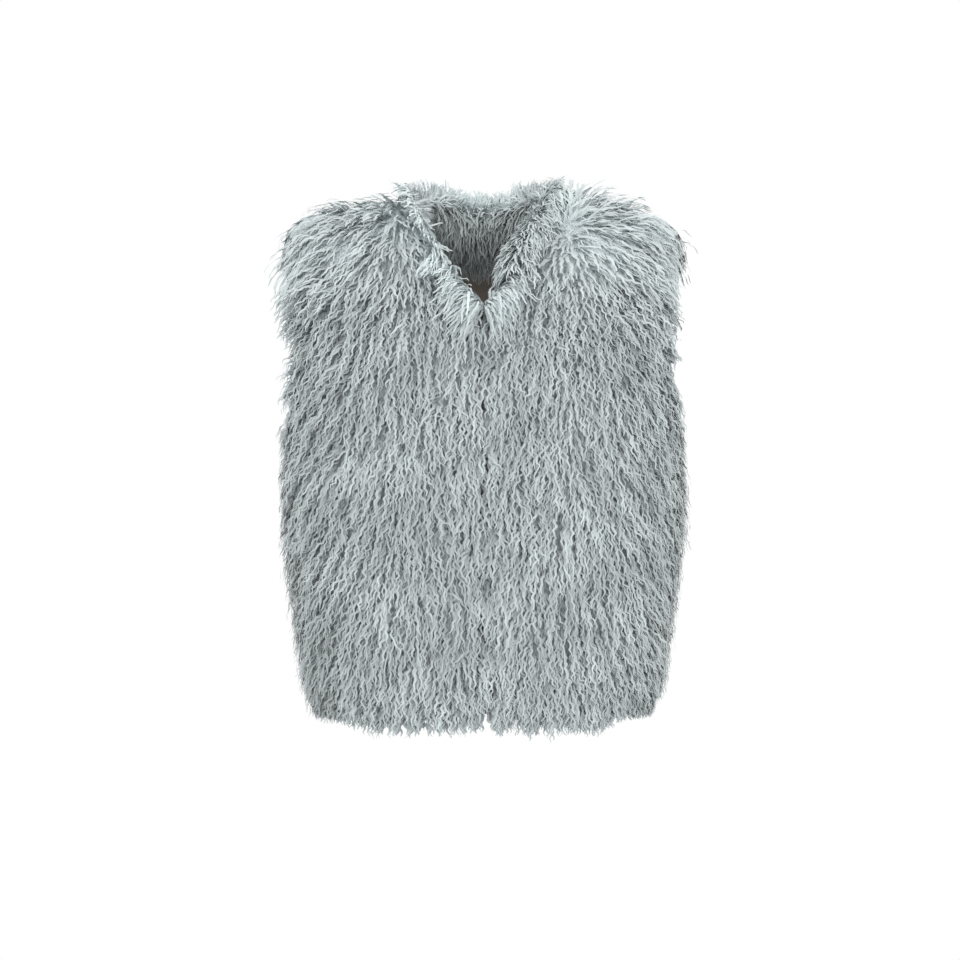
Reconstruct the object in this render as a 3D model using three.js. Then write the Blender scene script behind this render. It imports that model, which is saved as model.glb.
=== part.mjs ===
// A shaggy faux fur vest in its worn, hollow form: two fronts that meet at the centre, a back,
// a stand collar with pile on both faces, and a lining inside each panel.
// Millimetres, +Z up. The fronts face -Y and the wearer's left is at +X. The origin lies midway
// between the neck ends of the two shoulder seams, where the wearer's shoulders carry the vest.
// Each fur panel is a wall as thick as its pile: a plain inner face, which is the cloth's own
// shape, under an outer face of staggered locks that rolls over at the hem and the armholes.

import * as THREE from "three";

const DEGREE = Math.PI / 180;

// Cut of the cloth, measured on its inner face.
const NECK_HALF_WIDTH = 75; // centre to the neck end of a shoulder seam
const SHOULDER_SLOPE = 13 * DEGREE;
const UNDERARM_HEIGHT = -215;
const HEM_HEIGHT = -498;
const RING_POWER = 0.83; // 1 gives elliptical rings, and less gives squarer ones

// Half a neckline, from the centre to the shoulder seam: how far it drops, and the powers that
// curve it. The front's is a V with curved sides.
const FRONT_NECK = { drop: 105, widthPower: 0.86, dropPower: 1.12 };
const BACK_NECK = { drop: 20, widthPower: 1, dropPower: 2.4 };

// Gaps between pieces.
const SEAM_GAP = 0.3;
const FRONT_GAP = 1.2; // the fronts meet edge to edge and aren't sewn
const LINING_GAP = 2.5; // the lining hangs this far inside the cloth
const LINING_SEAT = 0.6; // and this far at its lowest row, where it is sewn down
const LINING_THICKNESS = 1.5;

// Rings of the inner face, from the hem up to the underarm. Above it the last ring carries on.
const RINGS = [
  { height: HEM_HEIGHT, halfWidth: 171, frontDepth: 110, backDepth: 102 },
  { height: -430, halfWidth: 176, frontDepth: 114, backDepth: 105 },
  { height: -350, halfWidth: 187, frontDepth: 118, backDepth: 108 },
  { height: -290, halfWidth: 191, frontDepth: 119, backDepth: 109 },
  { height: UNDERARM_HEIGHT, halfWidth: 190, frontDepth: 118, backDepth: 108 },
];
const TOP_RING = RINGS[RINGS.length - 1];

// How far the pile stands off the cloth, at the centre of a panel and at its side.
const PILE = [
  { height: HEM_HEIGHT, centre: 19, side: 20 },
  { height: -430, centre: 22, side: 23 },
  { height: -300, centre: 22, side: 26 },
  { height: UNDERARM_HEIGHT, centre: 22, side: 24 },
  { height: -120, centre: 23, side: 34 },
  { height: -50, centre: 26, side: 46 },
  { height: 0, centre: 27, side: 40 },
];
const PILE_POWER = 1.2; // more keeps the centre's pile further out to the side

// The armhole: how far its edge swings round from the side, in degrees of ring angle.
const ARMHOLE_TIP_ANGLE = 18; // at the shoulder tip
const ARMHOLE_BULGE = 24; // added halfway up
const ARMHOLE_ROUNDNESS = 0.6; // less makes the underarm rounder
const ARMHOLE_RISE = 1.45; // more sets its lowest rows closer together

// Locks of fur raised in the outer face: a column of locks, four rows long each, between two
// columns of furrows.
const LOCK_ROWS = 4;
const LOCK_HEIGHT = 6.5;
const LOCK_SHARE = { least: 0.75, spread: 0.35 }; // of the lock height, at a lock's tip
const FURROW_SHARE = { least: 0.25, spread: 0.3 }; // of the lock height, down in a furrow
const LOCK_START_SEED = 7;
const PANEL_SEEDS = { left: 0, right: 100, back: 200 };

// Where a panel ends, its outer face rolls over the edge and its locks get lower.
const EDGE_ROLL = [1, 0.62, 0.28]; // how far it rolls over, from a free edge inwards
const FULL_ROLL = 76 * DEGREE;
const ROLL_GROWTH = 2.5; // how fast it starts to roll over above the underarm
const ROLL_CALM = 0.6; // share of the locks' relief that is lost round the armhole
const FRONT_EDGE_SHARE = [0.72, 0.93]; // share of the pile left beside the front opening

// Fall of the armhole's pile for each step sideways: a little at the underarm, and more above.
const DROOP = { least: 0.2, added: 1.4, from: 0.4, growth: 1.8 };

// Steps of the panel grids. The inner face has half as many rows as the outer one.
const FRONT_COLUMNS = 22;
const NECK_COLUMNS = 10; // of a front's columns, those that end on the neckline
const BACK_COLUMNS = 44;
const BACK_NECK_COLUMNS = 20;
const ROWS = 32;
const SIDE_SEAM_ROWS = 18;
const FACING_COLUMNS = 4; // of a front's columns, those beside the opening with no lining

// The stand collar: each section of it is an arch over the neck seam, from the cloth's inner face
// to its outer one. inward and outward pull the arch's two sides apart and so give it its pile.
const COLLAR_SIZES = [
  // from the front opening (0) by the shoulder seam (1) to the centre back (2)
  { place: 0, height: 19, inward: 8, outward: 8 },
  { place: 0.4, height: 24, inward: 16, outward: 16 },
  { place: 1, height: 27, inward: 32, outward: 6 },
  { place: 1.4, height: 36, inward: 30, outward: 14 },
  { place: 2, height: 41, inward: 28, outward: 20 },
];
const COLLAR_STEPS = 10; // round each arch
const COLLAR_GAP = 0.7; // its seam twists, so the gap there is wider than at the other seams
const COLLAR_LEAN = 0.6; // how much the neck's own slope tips the collar inwards
const COLLAR_LOCK = 5; // every second arch is higher and the ones between are lower by about this
const COLLAR_LOCK_LEAST = 0.5; // least share of it
const COLLAR_LOCK_SEED = 3;
const COLLAR_MITRE = 0.5; // its sections turn to face straight ahead over this stretch
const ARCH_HANDLE = 4 / 3; // a Bezier arch rises as far as 3/4 of its two handles
const NECK_MIDDLE = new THREE.Vector3(0, -20, 60);

const UP = new THREE.Vector3(0, 0, 1);
const DOWN = new THREE.Vector3(0, 0, -1);
const STRAIGHT_AHEAD = new THREE.Vector3(1, 0, 0); // along a section that faces straight ahead

// Steps of ring angle and level over which a normal is read.
const ANGLE_STEP = 0.5;
const LEVEL_STEP = 0.01;

// Reads one column of a table at a place in another, by a smooth curve through the rows.
function readTable(table, key, at, column) {
  const last = table.length - 1;
  const clamped = Math.min(Math.max(at, table[0][key]), table[last][key]);
  let i = 0;
  while (i < last - 1 && clamped > table[i + 1][key]) i += 1;
  const slope = (a, b) => (table[b][column] - table[a][column]) / (table[b][key] - table[a][key]);
  const step = table[i + 1][key] - table[i][key];
  const startSlope = slope(Math.max(i - 1, 0), i + 1);
  const endSlope = slope(i, Math.min(i + 2, last));
  const t = (clamped - table[i][key]) / step;
  const rise = t * t * (3 - 2 * t);
  return (
    table[i][column] * (1 - rise) +
    table[i + 1][column] * rise +
    step * t * (1 - t) * (startSlope * (1 - t) - endSlope * t)
  );
}

// A repeatable number from 0 to 1 for a lock.
function scatter(a, b) {
  const wave = Math.sin(a * 127.1 + b * 311.7) * 43758.5453;
  return wave - Math.floor(wave);
}

const signedPower = (value, power) => Math.sign(value) * Math.pow(Math.abs(value), power);
const smooth = (value) => {
  const t = Math.min(Math.max(value, 0), 1);
  return t * t * (3 - 2 * t);
};

// Height of the shoulder line, which is level across the neck and then slopes down.
function shoulderHeight(x) {
  return -Math.max(Math.abs(x) - NECK_HALF_WIDTH, 0) * Math.tan(SHOULDER_SLOPE);
}

// The inner face. angle is -90 at the centre front, 0 at the side and 90 at the centre back.
// level is 0 at the hem, 1 at the underarm and 2 on the shoulder line. side is 1 or -1.
function shellPoint(side, angle, level) {
  const upper = Math.max(level - 1, 0) * 90 * DEGREE;
  const height = HEM_HEIGHT + (UNDERARM_HEIGHT - HEM_HEIGHT) * Math.min(level, 1);
  const across = signedPower(Math.cos(angle * DEGREE), RING_POWER);
  const along = signedPower(Math.sin(angle * DEGREE), RING_POWER);
  const depthColumn = along < 0 ? "frontDepth" : "backDepth";
  const x = readTable(RINGS, "height", height, "halfWidth") * across;
  const y = readTable(RINGS, "height", height, depthColumn) * along * Math.cos(upper);
  const z = height + (shoulderHeight(x) - UNDERARM_HEIGHT) * Math.sin(upper);
  return new THREE.Vector3(side * x, y, z);
}

// The outward normal of the inner face.
function shellNormal(side, angle, level) {
  const at = (turned, climbed) => shellPoint(side, angle + turned, level + climbed);
  const turn = at(ANGLE_STEP, 0).sub(at(-ANGLE_STEP, 0));
  const climb = at(0, LEVEL_STEP).sub(at(0, -LEVEL_STEP));
  return turn.cross(climb).multiplyScalar(side).normalize();
}

// The edge of the armhole in ring angle and level, from the underarm (0) to the shoulder tip (1).
function armholeEdge(share) {
  const bulge = ARMHOLE_BULGE * Math.pow(Math.sin(Math.PI * share), ARMHOLE_ROUNDNESS);
  return { angle: ARMHOLE_TIP_ANGLE * share + bulge, level: 1 + Math.pow(share, ARMHOLE_RISE) };
}

// The ring angle and level of the point at x and z, on the front or back above the underarm.
function placeOnRings(x, z) {
  const across = Math.pow(x / TOP_RING.halfWidth, 1 / RING_POWER);
  const climbed = (z - UNDERARM_HEIGHT) / (shoulderHeight(x) - UNDERARM_HEIGHT);
  return {
    angle: Math.acos(Math.min(across, 1)) / DEGREE,
    level: 1 + Math.asin(Math.min(climbed, 1)) / DEGREE / 90,
  };
}

// A neckline, from the centre (0) to the shoulder seam (1).
function neckPlace({ drop, widthPower, dropPower }, share) {
  const sideways = Math.sin(share * 90 * DEGREE);
  const x = NECK_HALF_WIDTH * Math.pow(sideways, widthPower);
  return placeOnRings(x, -drop * (1 - Math.pow(sideways, dropPower)));
}

// The top edge of a half panel, from the centre line (0) to the shoulder tip (1).
function topEdge(share, neckShare, neck) {
  if (share < neckShare) return neckPlace(neck, share / neckShare);
  const seamStart = neckPlace(neck, 1).angle;
  const along = (share - neckShare) / (1 - neckShare);
  return { angle: seamStart + (ARMHOLE_TIP_ANGLE - seamStart) * along, level: 2 };
}

// The side edge of a half panel, from the hem (0) to the shoulder tip (1).
function sideEdge(share) {
  const seam = SIDE_SEAM_ROWS / ROWS;
  if (share <= seam) return { angle: 0, level: share / seam };
  return armholeEdge((share - seam) / (1 - seam));
}

// A place inside a half panel, blended from its edges. across is 0 at the centre line and up is
// 0 at the hem. The side edge's swing fades out towards the neck end of the shoulder seam, so
// that the rows beside the neckline never cross it.
function panelPlace(across, up, neckShare, neck) {
  const top = topEdge(across, neckShare, neck);
  const edge = sideEdge(up);
  const swing = Math.max(across - neckShare, 0) / (1 - neckShare);
  const angle = 90 * (1 - across) * (1 - up) + top.angle * up;
  return {
    angle: angle + swing * (edge.angle - ARMHOLE_TIP_ANGLE * up),
    level: top.level * up + swing * (edge.level - 2 * up),
  };
}

// How far the pile stands off the cloth at a point of the inner face.
function pileDepth(point, angle) {
  const sideways = Math.pow(Math.cos(angle * DEGREE), PILE_POWER);
  const centre = readTable(PILE, "height", point.z, "centre");
  const side = readTable(PILE, "height", point.z, "side");
  return centre + (side - centre) * sideways;
}

// The relief of one lock: low at its root, high at its tip, and a furrow on each side.
function lockRelief(column, row) {
  const varied = ({ least, spread }, number) => least + spread * scatter(column, number);
  if (column % 2 === 0) return -LOCK_HEIGHT * varied(FURROW_SHARE, row);
  const start = Math.floor(scatter(column, LOCK_START_SEED) * LOCK_ROWS);
  const fromTip = (row + start) % LOCK_ROWS;
  const lock = Math.floor((row + start) / LOCK_ROWS);
  return LOCK_HEIGHT * (varied(LOCK_SHARE, lock) - fromTip / LOCK_ROWS);
}

// Builds one fur panel's outer and inner grids of points, and the inner one's normals.
// half(column) says where a column lies: its side, its share across and its free edges.
function panelGrids({ columns, neck, neckShare, facing, half, shift, seed }) {
  const outer = [];
  const inner = [];
  const normals = [];
  for (let row = 0; row <= ROWS; row += 1) {
    const outerRow = [];
    const innerRow = [];
    const normalRow = [];
    for (let column = 0; column <= columns; column += 1) {
      const { side, across, stepsToSide, stepsToOpening } = half(column);
      const place = panelPlace(across, row / ROWS, neckShare, neck);
      const angle = facing * place.angle;
      const cloth = shellPoint(side, angle, place.level).add(shift);
      const normal = shellNormal(side, angle, place.level);
      const openingShare = FRONT_EDGE_SHARE[stepsToOpening] ?? 1;
      const armhole = (row - SIDE_SEAM_ROWS) / (ROWS - SIDE_SEAM_ROWS);
      const armholeRoll = (EDGE_ROLL[stepsToSide] ?? 0) * smooth(armhole * ROLL_GROWTH);
      const droop = DROOP.least + DROOP.added * smooth((armhole - DROOP.from) * DROOP.growth);
      const calm = 1 - ROLL_CALM * armholeRoll;
      const relief = row === ROWS ? 0 : lockRelief(column + seed, row) * calm;
      const pile = pileDepth(cloth, angle) * openingShare + relief;
      const sideways = new THREE.Vector3(side, 0, -droop).normalize();
      const hemRoll = EDGE_ROLL[row] ?? 0;
      const [direction, roll] = hemRoll > armholeRoll ? [DOWN, hemRoll] : [sideways, armholeRoll];
      const growth = normal.clone().multiplyScalar(Math.cos(roll * FULL_ROLL));
      growth.addScaledVector(direction, Math.sin(roll * FULL_ROLL)).normalize();
      outerRow.push(cloth.clone().addScaledVector(growth, pile));
      innerRow.push(cloth);
      normalRow.push(normal);
    }
    outer.push(outerRow);
    if (row % 2 === 0) {
      inner.push(innerRow);
      normals.push(normalRow);
    }
  }
  return { outer, inner, normals };
}

// Turns rows of points and triangles of points into one geometry whose faces point out.
function closedGeometry(triangles) {
  let volume = 0;
  for (const [a, b, c] of triangles) volume += a.dot(new THREE.Vector3().crossVectors(b, c));
  const corners = triangles.flatMap(([a, b, c]) => (volume > 0 ? [a, b, c] : [a, c, b]));
  return new THREE.BufferGeometry().setFromPoints(corners);
}

// The two triangles of a quad, given round its edge.
const quad = (a, b, c, d) => [[a, b, c], [a, c, d]];

// The faces of a grid of points.
function gridFaces(grid) {
  const faces = [];
  for (let row = 0; row + 1 < grid.length; row += 1) {
    for (let column = 0; column + 1 < grid[row].length; column += 1) {
      const [a, b] = [grid[row][column], grid[row][column + 1]];
      const [c, d] = [grid[row + 1][column + 1], grid[row + 1][column]];
      faces.push(...quad(a, b, c, d));
    }
  }
  return faces;
}

// The rim between two lines of points, where the first has as many steps as the second or twice.
function rimFaces(fine, coarse) {
  const ratio = (fine.length - 1) / (coarse.length - 1);
  const faces = [];
  for (let i = 0; i + 1 < coarse.length; i += 1) {
    const [a, b] = [coarse[i], coarse[i + 1]];
    if (ratio === 1) {
      faces.push(...quad(fine[i], a, b, fine[i + 1]));
    } else {
      const [start, middle, end] = fine.slice(2 * i, 2 * i + 3);
      faces.push([start, a, middle], [middle, a, b], [middle, b, end]);
    }
  }
  return faces;
}

// One closed wall from an outer grid and an inner one.
function wallGeometry(outer, inner) {
  const columnOf = (grid, column) => grid.map((row) => row.at(column));
  return closedGeometry([
    ...rimFaces(columnOf(outer, -1), columnOf(inner, -1)),
    ...rimFaces(columnOf(outer, 0).reverse(), columnOf(inner, 0).reverse()),
    ...rimFaces([...outer.at(-1)].reverse(), [...inner.at(-1)].reverse()),
    ...rimFaces(outer[0], inner[0]),
    ...gridFaces(inner).map(([a, b, c]) => [a, c, b]),
    ...gridFaces(outer),
  ]);
}

// A front. The columns of all three panels run the same way round the neck, from the right
// front's opening by the back to the left front's, so the neck seam is split into triangles alike.
function frontGrids(side) {
  return panelGrids({
    columns: FRONT_COLUMNS,
    neck: FRONT_NECK,
    neckShare: NECK_COLUMNS / FRONT_COLUMNS,
    facing: -1,
    half: (column) => {
      const stepsToOpening = side < 0 ? column : FRONT_COLUMNS - column;
      const stepsToSide = FRONT_COLUMNS - stepsToOpening;
      return { side, across: stepsToOpening / FRONT_COLUMNS, stepsToSide, stepsToOpening };
    },
    shift: new THREE.Vector3((side * FRONT_GAP) / 2, -SEAM_GAP / 2, 0),
    seed: side > 0 ? PANEL_SEEDS.left : PANEL_SEEDS.right,
  });
}

// The back.
function backGrids() {
  const middle = BACK_COLUMNS / 2;
  return panelGrids({
    columns: BACK_COLUMNS,
    neck: BACK_NECK,
    neckShare: BACK_NECK_COLUMNS / BACK_COLUMNS,
    facing: 1,
    half: (column) => ({
      side: column < middle ? -1 : 1,
      across: Math.abs(column - middle) / middle,
      stepsToSide: middle - Math.abs(column - middle),
    }),
    shift: new THREE.Vector3(0, SEAM_GAP / 2, 0),
    seed: PANEL_SEEDS.back,
  });
}

// The neck seam all the way round, from the right front's opening to the left one's: for each
// point its place on the cloth's inner and outer faces, and its place along the collar.
function neckSeam([rightFront, leftFront], back) {
  const take = ({ outer, inner }, column, place) => ({
    inside: inner.at(-1)[column],
    outside: outer.at(-1)[column],
    place,
  });
  const steps = Array.from({ length: NECK_COLUMNS + 1 }, (_, i) => i);
  const rightPart = steps.map((i) => take(rightFront, i, i / NECK_COLUMNS));
  const leftPart = steps.map((i) => take(leftFront, FRONT_COLUMNS - i, i / NECK_COLUMNS));
  const middle = BACK_COLUMNS / 2;
  const backPart = Array.from({ length: BACK_NECK_COLUMNS - 1 }, (_, i) => {
    const column = middle - BACK_NECK_COLUMNS / 2 + 1 + i;
    return take(back, column, 2 - Math.abs(column - middle) / (BACK_NECK_COLUMNS / 2));
  });
  return [...rightPart, ...backPart, ...leftPart.reverse()];
}

// The collar: one arch for each point of the neck seam. An arch is a Bezier curve whose two
// handles point up, and apart by the pile.
function collarGeometry(seam) {
  const sections = seam.map(({ inside, outside, place }, i) => {
    const before = seam[Math.max(i - 1, 0)].inside;
    const after = seam[Math.min(i + 1, seam.length - 1)].inside;
    const along = after.clone().sub(before).normalize();
    along.lerp(STRAIGHT_AHEAD, 1 - smooth(place / COLLAR_MITRE)).normalize();
    const offCloth = outside.clone().sub(inside).normalize();
    const intoNeck = new THREE.Vector3().crossVectors(along, offCloth).normalize();
    if (intoNeck.dot(NECK_MIDDLE.clone().sub(inside)) < 0) intoNeck.negate();
    const up = intoNeck.clone().multiplyScalar(COLLAR_LEAN).add(UP);
    up.addScaledVector(along, -up.dot(along)).normalize();
    const inward = new THREE.Vector3().crossVectors(along, up).normalize();
    if (inward.dot(intoNeck.clone().sub(offCloth)) < 0) inward.negate();

    const size = (column) => readTable(COLLAR_SIZES, "place", place, column);
    const lock = COLLAR_LOCK * (COLLAR_LOCK_LEAST + scatter(i, COLLAR_LOCK_SEED));
    const tuft = 1 + (lock / size("height")) * (i % 2 === 0 ? -1 : 1);
    const start = inside.clone().addScaledVector(intoNeck, COLLAR_GAP);
    const end = outside.clone().addScaledVector(intoNeck, COLLAR_GAP);
    const top = up.clone().multiplyScalar(size("height") * tuft * ARCH_HANDLE);
    const arch = new THREE.CubicBezierCurve3(
      start,
      start.clone().add(top).addScaledVector(inward, size("inward") * tuft),
      end.clone().add(top).addScaledVector(inward, -size("outward")),
      end,
    );
    return arch.getPoints(COLLAR_STEPS).reverse();
  });
  const rings = sections.map((section) => [...section, section[0]]);
  const caps = [[...sections[0]].reverse(), sections.at(-1)].flatMap((loop) =>
    Array.from({ length: loop.length - 2 }, (_, i) => [loop[0], loop[i + 1], loop[i + 2]]),
  );
  return closedGeometry([...gridFaces(rings), ...caps]);
}

// A lining: every second column of a panel's inner face, offset inwards. It stops one row short
// of the hem and, on a front, at the bare facing beside the opening.
function liningGeometry({ inner, normals }, firstColumn, lastColumn) {
  const kept = (_, column) => column % 2 === 0 && column >= firstColumn && column <= lastColumn;
  const offset = (depth) =>
    inner.slice(1).map((row, r) =>
      row
        .map((point, c) => {
          const gap = r === 0 ? LINING_SEAT : LINING_GAP;
          return point.clone().addScaledVector(normals[r + 1][c], -gap - depth);
        })
        .filter(kept),
    );
  return wallGeometry(offset(0), offset(LINING_THICKNESS));
}

const furCloth = new THREE.MeshStandardMaterial({ name: "fur", color: 0xa9b8bc, roughness: 0.95 });
const liningCloth = new THREE.MeshStandardMaterial({
  name: "lining",
  color: 0x6e675f,
  roughness: 0.5,
});

const vest = new THREE.Group();

function addPiece(name, geometry, material) {
  const mesh = new THREE.Mesh(geometry, material);
  mesh.name = name;
  vest.add(mesh);
}

const rightFront = frontGrids(-1);
const leftFront = frontGrids(1);
const back = backGrids();

addPiece("front_right", wallGeometry(rightFront.outer, rightFront.inner), furCloth);
addPiece("front_left", wallGeometry(leftFront.outer, leftFront.inner), furCloth);
addPiece("back", wallGeometry(back.outer, back.inner), furCloth);
addPiece("collar", collarGeometry(neckSeam([rightFront, leftFront], back)), furCloth);
addPiece(
  "lining_front_right",
  liningGeometry(rightFront, FACING_COLUMNS, FRONT_COLUMNS),
  liningCloth,
);
addPiece(
  "lining_front_left",
  liningGeometry(leftFront, 0, FRONT_COLUMNS - FACING_COLUMNS),
  liningCloth,
);
addPiece("lining_back", liningGeometry(back, 0, BACK_COLUMNS), liningCloth);

export default vest;
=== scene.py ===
"""A shaggy faux fur vest in its worn, hollow form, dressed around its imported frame.

Every fur panel is a knit cloth, a soft undercoat on it and crimped strands of pile that stand in
locks. A stand collar of the same fur runs round the neck, and smooth linings hang inside.
Metres, +Z up. The fronts face -Y and the wearer's left is at +X.
"""

import logging
import math
from collections.abc import Callable
from dataclasses import dataclass, fields
from enum import Enum

import bpy
import numpy as np
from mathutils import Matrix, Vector
from mathutils.kdtree import KDTree


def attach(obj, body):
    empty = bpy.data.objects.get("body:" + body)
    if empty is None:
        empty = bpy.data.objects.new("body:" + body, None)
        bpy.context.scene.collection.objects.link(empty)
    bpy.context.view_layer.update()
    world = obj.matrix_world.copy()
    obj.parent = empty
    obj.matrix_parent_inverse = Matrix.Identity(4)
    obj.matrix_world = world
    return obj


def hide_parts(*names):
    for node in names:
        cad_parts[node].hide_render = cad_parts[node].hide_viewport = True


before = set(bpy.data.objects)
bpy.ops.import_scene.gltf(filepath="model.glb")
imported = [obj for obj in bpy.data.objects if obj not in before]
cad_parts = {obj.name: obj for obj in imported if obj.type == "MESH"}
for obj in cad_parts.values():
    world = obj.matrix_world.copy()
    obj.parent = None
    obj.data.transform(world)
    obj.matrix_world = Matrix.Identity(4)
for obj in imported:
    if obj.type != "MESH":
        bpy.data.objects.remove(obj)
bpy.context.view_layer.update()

LOG = logging.getLogger("fur_vest")
FACING_SHARE = 4 / 22
BODY = "root"
UP = np.array([0.0, 0.0, 1.0])

Colour = tuple[float, float, float]
Place = tuple[float, float, float]
Span = tuple[float, float]  # where an easing starts, and how far it reaches


class Side(Enum):
    """A side of the wearer, as the sign of X there."""

    RIGHT = -1
    LEFT = 1


class Facing(Enum):
    """Which way a panel faces, as the sign of Y there."""

    FRONT = -1
    BACK = 1


class Slot(Enum):
    """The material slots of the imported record."""

    FUR = "fur"
    LINING = "lining"


def smooth(value: np.ndarray) -> np.ndarray:
    """Eases values from 0 to 1 and holds them there outside that range."""
    held = np.clip(value, 0, 1)
    return held * held * (3 - 2 * held)


def ease(value: np.ndarray, start: float, reach: float) -> np.ndarray:
    """Eases values from 0 at a start to 1 at a reach beyond it, or before it if that is negative."""
    return smooth((value - start) / reach)


def unit(vectors: np.ndarray) -> np.ndarray:
    """Brings vectors to length 1."""
    return vectors / np.maximum(np.linalg.norm(vectors, axis=-1, keepdims=True), 1e-9)


def dot(first: np.ndarray, second: np.ndarray) -> np.ndarray:
    """Dot products along the last axis, which is kept."""
    return np.sum(first * second, axis=-1, keepdims=True)


def mix(first: np.ndarray, second: np.ndarray, share: np.ndarray) -> np.ndarray:
    """Goes from the first values to the second as the share goes from 0 to 1."""
    return first * (1 - share) + second * share


def along_surface(direction: np.ndarray, normal: np.ndarray) -> np.ndarray:
    """The part of a direction that lies along a surface, brought to length 1."""
    return unit(direction - dot(direction, normal) * normal)


def even_grid(rows: int, columns: int, first: tuple[float, float] = (0, 0),
              last: tuple[float, float] = (1, 1)) -> tuple[np.ndarray, np.ndarray]:
    """Two even parameters over a grid.

    Args:
        rows: steps in the first parameter, which runs down the grid.
        columns: steps in the second parameter, which runs across it.
        first: where the two parameters start.
        last: where they end.

    Returns:
        The two parameters at each point of the grid.
    """
    return np.meshgrid(np.linspace(first[0], last[0], rows + 1),
                       np.linspace(first[1], last[1], columns + 1), indexing="ij")


def read_table(rows: tuple, key: str, column: str, at: np.ndarray) -> np.ndarray:
    """Reads a smooth curve through a column of a table's rows, against their key."""
    keys, values = (tuple(getattr(row, name) for row in rows) for name in (key, column))
    return read_curve(keys, values, at)


def read_curve(keys: tuple[float, ...], values: tuple[float, ...], at: np.ndarray) -> np.ndarray:
    """Reads a smooth curve through the rows of a table.

    Args:
        keys: the table's rising key column.
        values: the column that is read.
        at: where it is read. Beyond the table's ends the end rows hold.

    Returns:
        The curve's values, in the shape of at.
    """
    key, value = np.array(keys), np.array(values)
    last = len(key) - 1
    held = np.clip(at, key[0], key[last])
    start = np.clip(np.searchsorted(key, held, side="right") - 1, 0, last - 1)
    before, after = np.maximum(start - 1, 0), np.minimum(start + 2, last)
    step = key[start + 1] - key[start]
    start_slope = (value[start + 1] - value[before]) / (key[start + 1] - key[before])
    end_slope = (value[after] - value[start]) / (key[after] - key[start])
    t = (held - key[start]) / step
    rise = t * t * (3 - 2 * t)
    bend = step * t * (1 - t) * (start_slope * (1 - t) - end_slope * t)
    return value[start] * (1 - rise) + value[start + 1] * rise + bend


@dataclass(frozen=True)
class Ring:
    """One ring of the cloth: its height, half its width, and its depth before and behind the side."""

    height: float
    half_width: float
    front_depth: float
    back_depth: float


@dataclass(frozen=True)
class PileRow:
    """How far the pile stands off the cloth at one height, at a panel's centre and at its side."""

    height: float
    centre: float
    side: float


@dataclass(frozen=True)
class Neckline:
    """Half a neckline: how far it drops at the centre, and the powers that curve it."""

    drop: float
    width_power: float
    drop_power: float


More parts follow.
